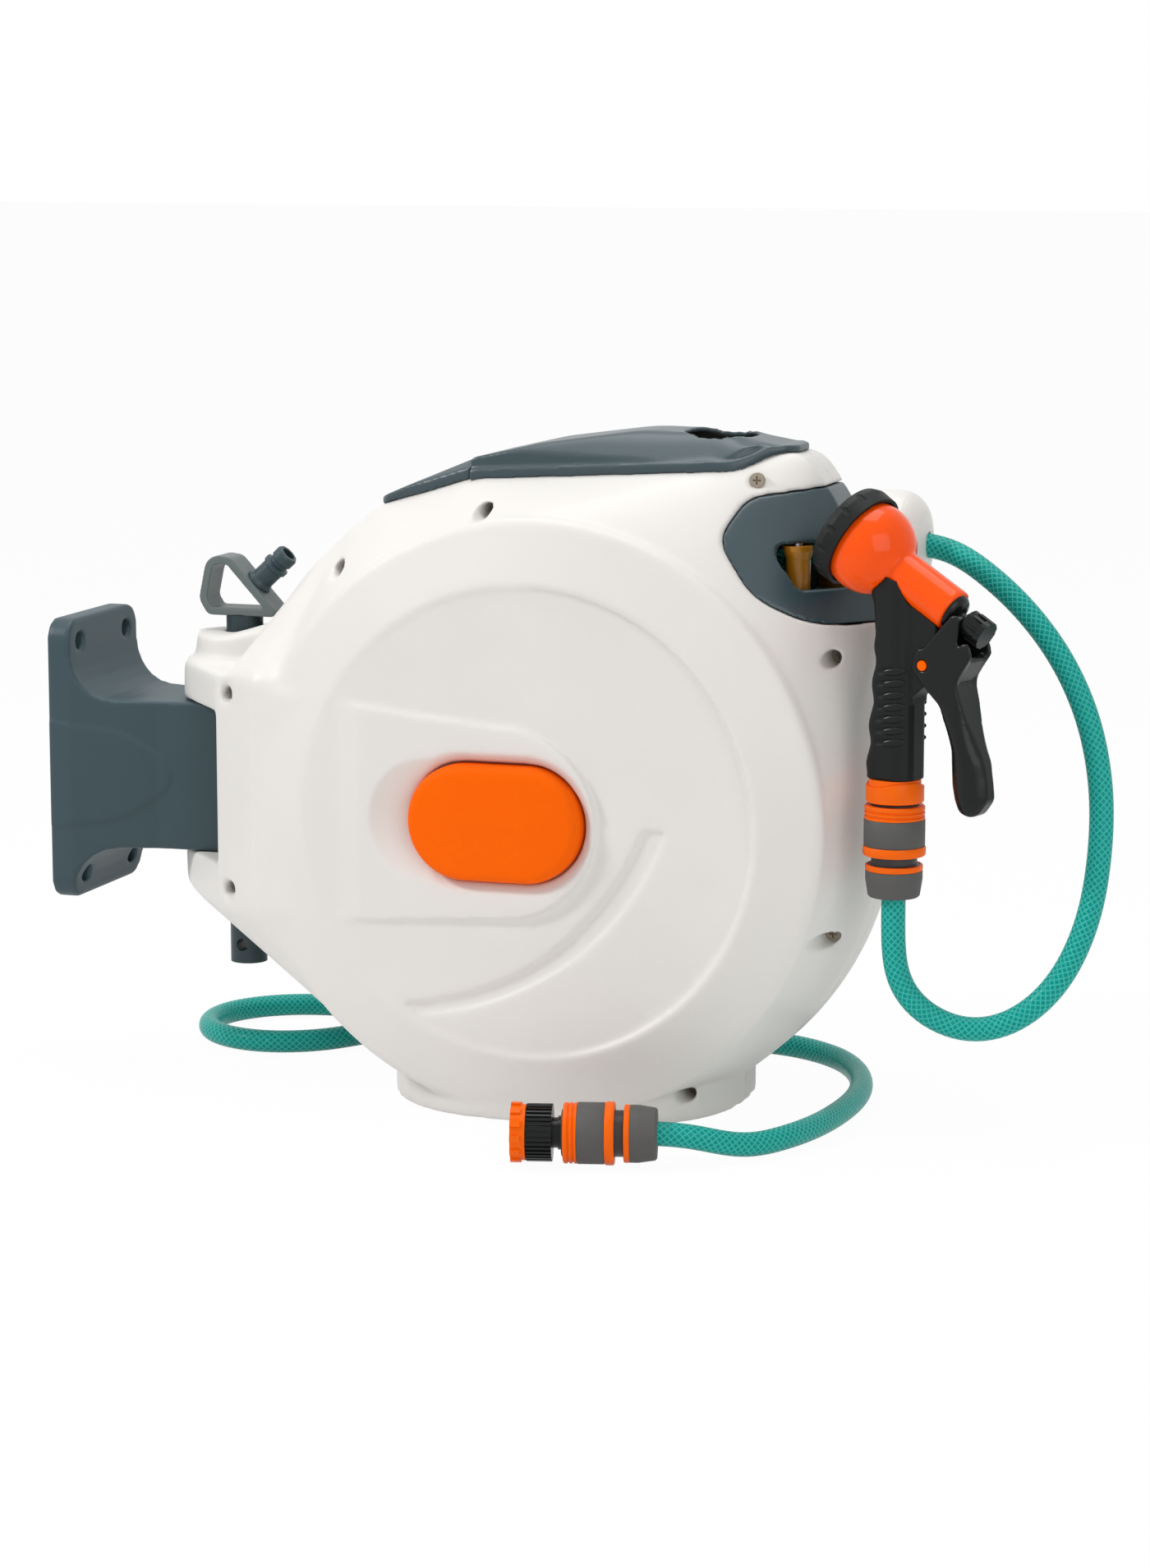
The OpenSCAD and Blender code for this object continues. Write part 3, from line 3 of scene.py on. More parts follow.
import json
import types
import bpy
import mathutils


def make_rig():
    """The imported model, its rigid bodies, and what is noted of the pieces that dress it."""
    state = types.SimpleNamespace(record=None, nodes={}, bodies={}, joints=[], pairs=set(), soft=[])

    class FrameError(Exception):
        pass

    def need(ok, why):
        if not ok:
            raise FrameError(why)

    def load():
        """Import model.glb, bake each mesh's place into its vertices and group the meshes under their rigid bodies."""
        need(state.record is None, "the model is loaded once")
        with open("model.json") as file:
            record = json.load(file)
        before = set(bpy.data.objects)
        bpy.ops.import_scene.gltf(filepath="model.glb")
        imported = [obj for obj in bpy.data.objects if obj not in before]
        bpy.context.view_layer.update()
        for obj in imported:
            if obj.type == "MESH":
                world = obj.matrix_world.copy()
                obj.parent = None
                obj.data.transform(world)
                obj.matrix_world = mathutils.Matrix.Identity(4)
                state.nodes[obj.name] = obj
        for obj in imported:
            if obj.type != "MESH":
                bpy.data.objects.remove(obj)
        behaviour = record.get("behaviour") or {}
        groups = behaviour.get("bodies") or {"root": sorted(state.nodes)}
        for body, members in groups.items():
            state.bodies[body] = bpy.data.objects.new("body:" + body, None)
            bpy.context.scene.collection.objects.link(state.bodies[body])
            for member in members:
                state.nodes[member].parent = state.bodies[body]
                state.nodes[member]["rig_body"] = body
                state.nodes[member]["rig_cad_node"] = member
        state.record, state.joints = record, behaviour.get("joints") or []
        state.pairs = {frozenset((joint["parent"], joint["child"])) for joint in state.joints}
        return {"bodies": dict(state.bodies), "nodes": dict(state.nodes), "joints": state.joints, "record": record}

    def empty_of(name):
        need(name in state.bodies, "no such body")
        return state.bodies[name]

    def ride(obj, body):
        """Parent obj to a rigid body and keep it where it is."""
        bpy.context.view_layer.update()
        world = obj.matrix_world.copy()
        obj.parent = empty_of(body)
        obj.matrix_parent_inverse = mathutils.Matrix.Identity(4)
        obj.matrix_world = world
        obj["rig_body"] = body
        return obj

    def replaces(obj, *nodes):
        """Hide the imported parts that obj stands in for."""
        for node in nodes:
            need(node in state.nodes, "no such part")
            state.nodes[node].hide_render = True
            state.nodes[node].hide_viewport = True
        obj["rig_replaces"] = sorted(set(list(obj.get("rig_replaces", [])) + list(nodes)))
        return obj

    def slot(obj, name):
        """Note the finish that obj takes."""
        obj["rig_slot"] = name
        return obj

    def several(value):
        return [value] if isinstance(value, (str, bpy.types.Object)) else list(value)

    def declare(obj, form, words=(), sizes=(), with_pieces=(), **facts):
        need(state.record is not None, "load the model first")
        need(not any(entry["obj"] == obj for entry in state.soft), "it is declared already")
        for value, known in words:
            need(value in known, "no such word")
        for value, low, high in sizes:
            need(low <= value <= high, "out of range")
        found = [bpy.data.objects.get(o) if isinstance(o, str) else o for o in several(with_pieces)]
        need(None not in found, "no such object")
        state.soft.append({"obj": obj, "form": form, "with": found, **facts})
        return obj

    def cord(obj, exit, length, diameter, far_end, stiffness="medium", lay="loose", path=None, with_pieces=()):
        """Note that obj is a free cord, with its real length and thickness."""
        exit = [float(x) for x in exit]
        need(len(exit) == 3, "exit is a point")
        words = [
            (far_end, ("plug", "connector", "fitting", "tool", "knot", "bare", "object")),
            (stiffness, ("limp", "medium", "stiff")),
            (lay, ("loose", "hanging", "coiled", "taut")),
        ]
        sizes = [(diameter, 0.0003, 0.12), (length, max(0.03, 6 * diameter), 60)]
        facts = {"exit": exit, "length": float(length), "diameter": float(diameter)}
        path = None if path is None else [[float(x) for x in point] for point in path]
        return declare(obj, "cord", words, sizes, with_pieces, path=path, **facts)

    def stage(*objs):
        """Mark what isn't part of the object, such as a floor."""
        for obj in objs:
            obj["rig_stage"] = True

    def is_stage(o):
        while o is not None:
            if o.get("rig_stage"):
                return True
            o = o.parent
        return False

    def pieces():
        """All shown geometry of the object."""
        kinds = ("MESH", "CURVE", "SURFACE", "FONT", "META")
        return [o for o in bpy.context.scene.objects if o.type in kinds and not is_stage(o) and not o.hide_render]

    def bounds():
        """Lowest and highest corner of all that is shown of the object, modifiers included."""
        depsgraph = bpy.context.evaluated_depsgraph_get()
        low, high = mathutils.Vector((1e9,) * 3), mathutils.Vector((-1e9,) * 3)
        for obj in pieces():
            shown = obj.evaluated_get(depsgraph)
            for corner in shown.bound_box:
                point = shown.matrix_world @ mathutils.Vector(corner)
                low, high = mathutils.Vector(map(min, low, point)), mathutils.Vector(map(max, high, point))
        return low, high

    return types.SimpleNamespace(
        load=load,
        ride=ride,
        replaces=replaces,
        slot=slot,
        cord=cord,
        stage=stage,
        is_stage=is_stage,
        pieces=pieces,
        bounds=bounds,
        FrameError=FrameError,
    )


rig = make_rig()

bl_info = {
    "name": "Wall Hose Reel",
    "version": (1, 0, 0),
    "blender": (4, 5, 0),
    "location": "View3D > Sidebar > Hose Reel",
    "description": "Dresses the solids of a wall mounted hose reel and lights them",
    "category": "Object",
}

import json
import math

import bmesh
import bpy
from bpy.props import FloatProperty, FloatVectorProperty, PointerProperty
from mathutils import Matrix, Vector

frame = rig.load()
CAD_BOX = [list(corner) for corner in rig.bounds()]
NODES = frame["nodes"]
JOINTS = {joint["name"]: joint for joint in frame["joints"]}
BODIES = frame["record"]["behaviour"]["bodies"]
BODY_OF = {node: body for body, nodes in BODIES.items() for node in nodes}
SLOT_OF = {part["node"]: part["material_slot"] for part in frame["record"]["subparts"]}

MM = 0.001
REEL = Vector(JOINTS["drum_spin"]["pos_m"])
FLOOR_Z = CAD_BOX[0][2]

# The photograph's camera, seen from the reel's centre
CAMERA_FROM_REEL = Vector((0.8001, -2.3977, 0.4310))
CAMERA_AZIMUTH = math.radians(18.5)
CAMERA_ELEVATION = math.radians(9.5)
FOCAL_PIXELS = 5000
IMAGE_HEIGHT = 1909
SENSOR = 36

# The lights: name, place, aim, power and size
LIGHTS = (
    ("key", (-1.7, -1.3, 1.8), (0.3, 0, 0), 41, 0.45),
    ("fill", (1.9, -1.6, 0.8), (0.35, 0, 0), 16, 1.6),
    ("top", (0.3, 0.2, 2.2), (0.3, 0, 0), 28, 1.6),
)

# The floor, and the world: its light on the part, and what is added where it is seen
FLOOR_SIZE = 40
FLOOR_GAP = 0.0005
FLOOR_TONE = (0.9, 0.9, 0.9, 1)
FLOOR_ROUGHNESS = 0.8
FLOOR_GLOW = 0.96
WORLD_LIGHT = 0.32
WORLD_SEEN = 0.68

# Hose routes, in millimetres from the reel's centre
HOSE_FLOOR = -178.5
GUN_ROUTE = [
    (40, 0, 124), (75, 0, 135), (110, 0, 146), (140, 0, 155), (162, 0, 162), (180, 0, 166),
    (200, 0, 166), (222, 0, 166), (240, -3, 162), (256, -8, 153), (281, -16, 135),
    (307, -22, 106), (326, -28, 71), (336, -34, 33), (338, -40, -5), (333, -46, -48),
    (318, -52, -85), (296, -57, -108), (272, -62, -117), (250, -67, -113), (232, -70, -101),
    (223, -72, -84), (221, -72, -62), (221, -72, -26),
]
LEADER_DROP = [
    (-14.4, 129, -30.8), (-25.4, 129, -54.4), (-45, 129, -92), (-76, 131, -126),
    (-118, 134, -153), (-166, 140, -170),
]
LEADER_LAY = [
    (-205, 143), (-236, 139), (-262, 126), (-279, 104), (-284, 78), (-276, 51), (-257, 32),
    (-231, 24), (-205, 30), (-184, 47), (-170, 70), (-155, 92), (-134, 109), (-106, 117),
    (-70, 120), (-35, 122), (0, 124), (40, 127), (80, 128), (113, 120), (145, 96), (166, 62),
    (178, 25), (182, -10), (181, -45), (176, -80), (165, -113), (147, -139),
]
LEADER_END = [(119.5, -161.4, -168), (94.6, -168, -168)]
GUN_HOSE_LENGTH = 0.68
LEADER_LENGTH = 1.19
ROUTE_STEP = 0.004

# The wound hose, in millimetres: radius of the middle of each layer, turns and pitch
WINDING_RADII = (113.65, 97.5)
WINDING_TURNS = 9
WINDING_PITCH = 15.4
WINDING_STEPS = 60 * WINDING_TURNS
WINDING_SIDES = 14

# Softened mouldings: voxel as a share of the trim voxel, passes of smoothing, share of faces kept
MOULDINGS = {
    "wall_bracket": (1.4, 7, 0.3),
    "crest_plate": (1.4, 7, 0.3),
    "outlet_bezel": (1.4, 7, 0.3),
    "carry_handle": (1.2, 4, 0.3),
    "handle_tray": (1.0, 30, 0.3),
    "pull_loop": (0.7, 4, 0.4),
    "gun_grip": (0.7, 6, 0.4),
    "gun_trigger": (0.8, 34, 0.5),
    "gun_body": (1.0, 12, 0.5),
}
SHELL_PASSES = 10
SHELL_KEEP = 0.3
CAP_PASSES = 10
CAP_KEEP = 0.4
SMOOTH_FACTOR = 0.5
MELT_PASSES = 70

# Where the hinge ears run into the housing: each pair is where that starts and where it is full,
# in millimetres above and below the reel's centre, towards the wall, off the pin and off the seam
HINGE_X = -224
EAR_ABOVE = (57, 65)
EAR_BELOW = (48, 56)
EAR_REACH = (135, 165)
EAR_OFF_PIN = (15, 21)
EAR_OFF_SEAM = (1.5, 8)

# The handle's lip at the corner where it turns in, in millimetres: place and reach of the turn,
# how far it is pushed out, its drop as a share of that, and the band across that it takes in
LIP_TURN_X = 114
LIP_TURN_REACH = 20
LIP_PUSH = 4
LIP_DROP = 0.8
LIP_BAND = (21, 27)

# The handle's crown, in millimetres: its half width along the handle, its two ends, how far off
# its sides, its ends and the finger opening its faces run together, and from what height
CROWN_PLACES = (-58, 96, 142)
CROWN_HALF = (38, 42, 20)
CROWN_LEFT = -58
CROWN_RIGHT = 138
CROWN_OFF_SIDE = (1, 9)
CROWN_OFF_LEFT = (2, 10)
CROWN_OFF_RIGHT = (0, 8)
CROWN_OFF_OPENING = (3, 8)
CROWN_HEIGHT = (190, 204)
OPENING_X = 92
OPENING_HALF = (1, 6)
OPENING_RADIUS = 20

# Places and axes of the two quick connectors and of the gun, in millimetres from the reel's centre
GUN_AT = Vector((221, -72, 20))
GUN_TURN = math.radians(161.5)
GUN_DOWN = Vector((0, 0, -1))
BARREL_RISE = Vector((0, 0, 139))
BARREL_TILT = math.radians(30)
TAP_AT = Vector((50, -180, -168))
TAP_TURN = math.radians(15)
CONNECTORS = {
    "gun": (GUN_AT, GUN_DOWN),
    "tap": (TAP_AT, Vector((math.cos(TAP_TURN), math.sin(TAP_TURN), 0))),
}

# Sections of the connectors' rings: radius and distance from the mating face, in millimetres
COLLAR_FRONT = [
    (14.2, 1), (17.2, 1), (18, 1.8), (18, 3.4), (17.2, 3.8), (17.2, 4.5), (18, 4.9), (18, 6.2),
    (17.2, 6.6), (17.2, 7.3), (18, 7.7), (18, 9), (14.2, 9),
]
COLLAR_SLEEVE = [
    (14.2, 9.05), (17.7, 9.05), (18.2, 9.7), (18.2, 24.8), (17.7, 25.4), (14.2, 25.4),
]
COLLAR_RIM = [
    (14.2, 25.45), (18.2, 25.45), (18.7, 26.2), (18.7, 30.2), (18.1, 31), (14.2, 31),
]
NUT_BAND = [
    (15.6, 36.6), (16.7, 36.6), (17.1, 37), (17.1, 39.6), (16.7, 40.1), (15.6, 40.1),
]
BARREL_GLAND = [
    (3.3, -44.8), (11, -44.8), (11, -46.2), (9.6, -48.2), (7.5, -49.2), (3.3, -49.4),
]
BASE_SLEEVE = [
    (15.6, -1.2), (17, -1.2), (17.3, -1.8), (17.3, -11.2), (16.6, -12), (15.6, -12),
]
BASE_WAVE = 1.6
WAVE_CYCLES = 2
WAVE_REACH = 4
RING_SIDES = 72
RING_SHARP = math.radians(40)

# The grip's front edge, by height over the gun's foot: how far it is drawn in, and its waves
GRIP_HALF = 15
GRIP_HEIGHTS = (15, 40, 70, 100, 118, 130)
GRIP_DRAW = (0, 1.5, 4, 5.5, 4, 0)
WAVE_HEIGHTS = (15, 24, 92, 104)
WAVE_SHARE = (0, 1, 1, 0)
GRIP_WAVE = 1.3
GRIP_WAVE_START = 24
GRIP_WAVE_LENGTH = 24

# The pads on the grip's sides, over the gun's foot: place of the lowest, pitch, half sizes, angles
PAD_COUNT = 7
PAD_AT = (-6.5, 13.3, 38)
PAD_PITCH = 7
PAD_HALF = (7.5, 1.5, 2.4)
PAD_LEAN = math.radians(8)
PAD_TURN = math.radians(12)

# The trigger's lever, by height over the gun's foot: its front edge, its back edge, and how far
# it swells
LEVER_HEIGHTS = (-5, 0, 8, 16, 30, 36, 54, 62, 76)
LEVER_FRONT = (-50, -47, -45.5, -44, -42.6, -42, -37.4, -36, -23)
LEVER_BACK = (-57, -60.5, -64, -63.2, -62, -60, -54, -51.4, -47)
LEVER_SWELL = (1.15, 1.2, 1.25, 1.25, 1.15, 1.08, 0.9, 0.86, 0.9)

# Its cheeks: their step and half widths, and how far the lever widens up to a height
LEVER_STEP = 52.5
LEVER_HALF = 9.5
LEVER_CHEEK = 12.5
LEVER_WIDEN = 1.12
LEVER_WIDE_TO = 20

# Its rounding: height and length of its tip, the tip's least width, where the rounding ends,
# the length over which it fades, and how round the edges are
LEVER_TIP = -6
LEVER_TIP_LENGTH = 12
LEVER_TIP_LEAST = 0.05
LEVER_ROUND_TOP = 72
LEVER_ROUND_FADE = 40
LEVER_ROUND = 0.88

# The web that closes the trigger's back between its cheeks
LEVER_WEB = [(-54, 54), (-47.2, 76), (-56, 90), (-52.5, 91.5), (-43, 77.5), (-41, 58)]
LEVER_WEB_HALF = 10.5

# Moulded finishes by slot: material, colour, share of the colour, and what differs from the usual
FINISHES = {
    "cream": ("cream_moulding", "cream", 1.0, {"roughness": 0.46, "tone": 0.02}),
    "stop_cream": ("cream_smooth", "cream", 1.0, {"roughness": 0.30, "tone": 0.02}),
    "slate": ("slate_moulding", "slate", 1.0, {"roughness": 0.48}),
    "slate_trim": ("trim_slate", "slate", 0.85, {"roughness": 0.34, "shine": 0.5}),
    "slate_pin": ("pin_slate", "slate", 0.6, {"roughness": 0.42}),
    "slate_spigot": ("spigot_slate", "slate", 0.8, {"roughness": 0.38}),
    "mid_grey": ("loop_grey", "grey", 1.0, {"roughness": 0.42}),
    "orange": (
        "orange_grain", "orange", 1.0,
        {"roughness": 0.55, "depth": 0.00015, "grain": 0.0012, "shine": 0.06},
    ),
    "gun_orange": (
        "orange_gloss", "gun_orange", 1.0,
        {"roughness": 0.13, "tone": 0.02, "depth": 0.00001, "shine": 0.2},
    ),
    "coupler_orange": (
        "orange_satin", "band_orange", 1.0, {"roughness": 0.38, "tone": 0.02, "shine": 0.12},
    ),
    "coupler_grey": ("sleeve_grey", "rubber_grey", 1.0, {"roughness": 0.62, "tone": 0.04}),
    "coupler_dark": ("dark_coupler", "rubber_grey", 0.45, {"roughness": 0.45}),
    "black": (
        "black_satin", "black", 1.0, {"roughness": 0.26, "depth": 0.00002, "shine": 0.22},
    ),
    "grip": ("black_rubber", "black", 1.0, {"roughness": 0.52, "tone": 0.05, "shine": 0.2}),
    "amber": ("amber_smooth", "amber", 1.0, {"roughness": 0.28}),
    "drum_grey": ("grey_drum", "rubber_grey", 0.45, {"roughness": 0.5}),
    "seal": ("seal_rubber", "black", 1.0, {"roughness": 0.6}),
    # Painted shade: the screws take the dark tan of the shade deep in their holes, not a steel of their own
    "painted_hole_shade": ("screw_painted_shade", "shade", 1.0, {"roughness": 0.5, "shine": 0.1}),
}
STEEL_TINT = (0.45, 0.45, 0.46)

# Nodes that look different from the rest of their slot; the shell screws take painted shade, a dark tan that stands
# for the shade deep in their holes
OWN_FINISH = {"valve_stem": "black", "shell_screws": "painted_hole_shade", "handle_tray": "amber"}

# Shader groups: slow changes over a moulding, and the hose's braid
SLOW_SCALE = 14.0
SLOW_DETAIL = 3.0
FINE_DETAIL = 1.0
TONE_GAIN = 4.0
GLOSS_GAIN = 3.0
BRAID_TURNS = 11.0
BRAID_DEPTH = 0.00025
THREAD_SLOPE = 5.0


class ReelSizes(bpy.types.PropertyGroup):
    """Sizes of the hose and of the mouldings' detail"""

    hose_width: FloatProperty(
        name="Hose Width",
        description="Outer diameter of the hose",
        default=0.0145,
        unit="LENGTH",
    )
    braid_pitch: FloatProperty(
        name="Braid Pitch",
        description="Length of one diamond of the hose's braid",
        default=0.0042,
        unit="LENGTH",
    )
    shell_voxel: FloatProperty(
        name="Shell Voxel",
        description="Detail of the softened housing",
        default=0.0016,
        unit="LENGTH",
    )
    trim_voxel: FloatProperty(
        name="Trim Voxel",
        description="Detail of the softened smaller mouldings",
        default=0.0009,
        unit="LENGTH",
    )
    grain: FloatProperty(
        name="Grain",
        description="Size of the moulded grain",
        default=0.0009,
        unit="LENGTH",
    )


def colour(name, description, value):
    return FloatVectorProperty(
        name=name, description=description, default=value, subtype="COLOR", min=0, max=1
    )


class ReelColours(bpy.types.PropertyGroup):
    """Colours of the mouldings and of the hose"""

    cream: colour("Cream", "Housing", (0.74, 0.72, 0.69))
    slate: colour("Slate", "Bracket, handle and bezel", (0.034, 0.063, 0.075))
    grey: colour("Grey", "Pull loop", (0.12, 0.145, 0.145))
    orange: colour("Orange", "Hub cap", (0.93, 0.124, 0.0))
    gun_orange: colour("Gun Orange", "Body of the gun", (0.95, 0.085, 0.0))
    band_orange: colour("Band Orange", "Bands of the connectors", (0.88, 0.13, 0.002))
    # Painted shade: this dark tan on the screws stands for the shade deep in their holes
    shade: colour("Shade", "Screws deep in their holes", (0.34, 0.29, 0.23))
    rubber_grey: colour("Rubber Grey", "Sleeves of the connectors", (0.084, 0.083, 0.08))
    black: colour("Black", "Grip, trigger and selector", (0.006, 0.007, 0.007))
    hose: colour("Hose", "Wall of the hose", (0.0, 0.27, 0.228))
    thread: colour("Thread", "Braid inside the hose's wall", (0.06, 0.56, 0.49))
    amber: colour("Amber", "Guide rollers and handle tray", (0.42, 0.17, 0.008))


def sizes():
    return bpy.context.scene.reel_sizes


def colours():
    return bpy.context.scene.reel_colours


# Shader groups

def group_socket(tree, name, kind, way, value=None):
    socket = tree.interface.new_socket(name=name, in_out=way, socket_type=kind)
    if value is not None:
        socket.default_value = value


def math_node(tree, operation, *values):
    node = tree.nodes.new("ShaderNodeMath")
    node.operation = operation
    for socket, value in zip(node.inputs, values):
        if isinstance(value, (int, float)):
            socket.default_value = value
        else:
            tree.links.new(value, socket)
    return node.outputs[0]


def seen_ray(tree):
    """One where a ray comes from the camera, a mirror or through glass, and nought elsewhere."""
    ray = tree.nodes.new("ShaderNodeLightPath").outputs
    mirrored = math_node(tree, "MAXIMUM", ray["Is Glossy Ray"], ray["Is Transmission Ray"])
    return math_node(tree, "MAXIMUM", ray["Is Camera Ray"], mirrored)


def noise(tree, vector, scale, detail):
    node = tree.nodes.new("ShaderNodeTexNoise")
    node.inputs["Detail"].default_value = detail
    tree.links.new(vector, node.inputs["Vector"])
    if isinstance(scale, (int, float)):
        node.inputs["Scale"].default_value = scale
    else:
        tree.links.new(scale, node.inputs["Scale"])
    return node.outputs["Fac"]


def grain_group():
    """Moulded grain: a fine bump, and slow changes of tone and gloss over the surface."""
    tree = bpy.data.node_groups.get("Moulded Grain")
    if tree:
        return tree
    tree = bpy.data.node_groups.new("Moulded Grain", "ShaderNodeTree")
    group_socket(tree, "Colour", "NodeSocketColor", "INPUT", (0.5, 0.5, 0.5, 1))
    group_socket(tree, "Tone", "NodeSocketFloat", "INPUT", 0.04)
    group_socket(tree, "Roughness", "NodeSocketFloat", "INPUT", 0.45)
    group_socket(tree, "Grain Size", "NodeSocketFloat", "INPUT", 0.001)
    group_socket(tree, "Colour", "NodeSocketColor", "OUTPUT")
    group_socket(tree, "Roughness", "NodeSocketFloat", "OUTPUT")
    group_socket(tree, "Height", "NodeSocketFloat", "OUTPUT")
    given = tree.nodes.new("NodeGroupInput").outputs
    result = tree.nodes.new("NodeGroupOutput").inputs
    where = tree.nodes.new("ShaderNodeTexCoord").outputs["Object"]
    slow = noise(tree, where, SLOW_SCALE, SLOW_DETAIL)
    fine = noise(tree, where, math_node(tree, "DIVIDE", 1.0, given["Grain Size"]), FINE_DETAIL)
    shift = math_node(tree, "MULTIPLY", math_node(tree, "SUBTRACT", slow, 0.5), given["Tone"])
    value = math_node(tree, "ADD", 1.0, math_node(tree, "MULTIPLY", shift, TONE_GAIN))
    tone = tree.nodes.new("ShaderNodeHueSaturation")
    tree.links.new(given["Colour"], tone.inputs["Color"])
    tree.links.new(value, tone.inputs["Value"])
    duller = math_node(tree, "MULTIPLY", shift, GLOSS_GAIN)
    gloss = math_node(tree, "ADD", given["Roughness"], duller)
    tree.links.new(tone.outputs["Color"], result["Colour"])
    tree.links.new(gloss, result["Roughness"])
    tree.links.new(fine, result["Height"])
    return tree


def braid_group():
    """Two crossing sets of threads laid round a hose, from its map in metres."""
    tree = bpy.data.node_groups.get("Hose Braid")
    if tree:
        return tree
    tree = bpy.data.node_groups.new("Hose Braid", "ShaderNodeTree")
    group_socket(tree, "Pitch", "NodeSocketFloat", "INPUT", 0.006)
    group_socket(tree, "Turns", "NodeSocketFloat", "INPUT", 8.0)
    group_socket(tree, "Thread", "NodeSocketFloat", "OUTPUT")
    given = tree.nodes.new("NodeGroupInput").outputs
    result = tree.nodes.new("NodeGroupOutput").inputs
    place = tree.nodes.new("ShaderNodeUVMap")
    place.uv_map = "hose"
    split = tree.nodes.new("ShaderNodeSeparateXYZ")
    tree.links.new(place.outputs["UV"], split.inputs[0])
    along = math_node(tree, "DIVIDE", split.outputs[0], given["Pitch"])
    around = math_node(tree, "MULTIPLY", split.outputs[1], given["Turns"])
    threads = []
    for sign in ("ADD", "SUBTRACT"):
        phase = math_node(tree, "PINGPONG", math_node(tree, sign, along, around), 0.5)
        rise = math_node(tree, "MULTIPLY", phase, THREAD_SLOPE)
        threads.append(math_node(tree, "SMOOTH_MIN", rise, 1.0))
    low = math_node(tree, "MINIMUM", *threads)
    tree.links.new(math_node(tree, "SUBTRACT", 1.0, low), result["Thread"])
    return tree


# Materials

def blank(name):
    material = bpy.data.materials.new(name)
    material.use_nodes = True
    tree = material.node_tree
    return material, tree, tree.nodes["Principled BSDF"]


def place_group(tree, group):
    node = tree.nodes.new("ShaderNodeGroup")
    node.node_tree = group
    return node


def bump(tree, height, shader, distance):
    node = tree.nodes.new("ShaderNodeBump")
    node.inputs["Distance"].default_value = distance
    node.inputs["Strength"].default_value = 1.0
    tree.links.new(height, node.inputs["Height"])
    tree.links.new(node.outputs["Normal"], shader.inputs["Normal"])


def moulded(name, tint, roughness, tone=0.03, depth=0.00006, grain=None, shine=0.35):
    """A moulded plastic with a fine grain."""
    found = bpy.data.materials.get(name)
    if found:
        return found
    material, tree, shader = blank(name)
    node = place_group(tree, grain_group())
    node.inputs["Colour"].default_value = (*tint, 1)
    node.inputs["Tone"].default_value = tone
    node.inputs["Roughness"].default_value = roughness
    node.inputs["Grain Size"].default_value = grain or sizes().grain
    tree.links.new(node.outputs["Colour"], shader.inputs["Base Color"])
    tree.links.new(node.outputs["Roughness"], shader.inputs["Roughness"])
    shader.inputs["Specular IOR Level"].default_value = shine
    bump(tree, node.outputs["Height"], shader, depth)
    return material


def steel():
    """Plain bright steel."""
    found = bpy.data.materials.get("plain_steel")
    if found:
        return found
    material = moulded("plain_steel", STEEL_TINT, roughness=0.32, tone=0.05)
    material.node_tree.nodes["Principled BSDF"].inputs["Metallic"].default_value = 1.0
    return material


def braided_hose():
    """A clear green wall over a paler braid."""
    found = bpy.data.materials.get("braided_hose")
    if found:
        return found
    material, tree, shader = blank("braided_hose")
    braid = place_group(tree, braid_group())
    braid.inputs["Pitch"].default_value = sizes().braid_pitch
    braid.inputs["Turns"].default_value = BRAID_TURNS
    mix = tree.nodes.new("ShaderNodeMix")
    mix.data_type = "RGBA"
    tree.links.new(braid.outputs["Thread"], mix.inputs["Factor"])
    mix.inputs["A"].default_value = (*colours().hose, 1)
    mix.inputs["B"].default_value = (*colours().thread, 1)
    tree.links.new(mix.outputs["Result"], shader.inputs["Base Color"])
    shader.inputs["Roughness"].default_value = 0.3
    shader.inputs["Specular IOR Level"].default_value = 0.1
    shader.inputs["Coat Weight"].default_value = 0.04
    shader.inputs["Coat Roughness"].default_value = 0.08
    bump(tree, braid.outputs["Thread"], shader, BRAID_DEPTH)
    return material


def finish_for(slot):
    """The material of a slot, made once."""
    if slot == "hose":
        return braided_hose()
    if slot == "steel":
        return steel()
    name, base, share, values = FINISHES[slot]
    return moulded(name, [share * v for v in getattr(colours(), base)], **values)


def node_finish(node):
    """The material of a node: its own, or its slot's."""
    return finish_for(OWN_FINISH.get(node, SLOT_OF[node]))


# Making pieces

def add_piece(name, mesh, body, slot):
    piece = bpy.data.objects.new(name, mesh)
    bpy.context.scene.collection.objects.link(piece)
    mesh.materials.clear()
    mesh.materials.append(finish_for(slot))
    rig.ride(piece, body)
    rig.slot(piece, slot)
    return piece


def as_mesh(form, name):
    """A mesh from a form that is then let go."""
    mesh = bpy.data.meshes.new(name)
    form.to_mesh(mesh)
    form.free()
    return mesh


def applied(piece):
    """The piece's mesh with its modifiers in it."""
    graph = bpy.context.evaluated_depsgraph_get()
    mesh = bpy.data.meshes.new_from_object(piece.evaluated_get(graph))
    piece.modifiers.clear()
    old = piece.data
    piece.data = mesh
    bpy.data.meshes.remove(old)
    return mesh


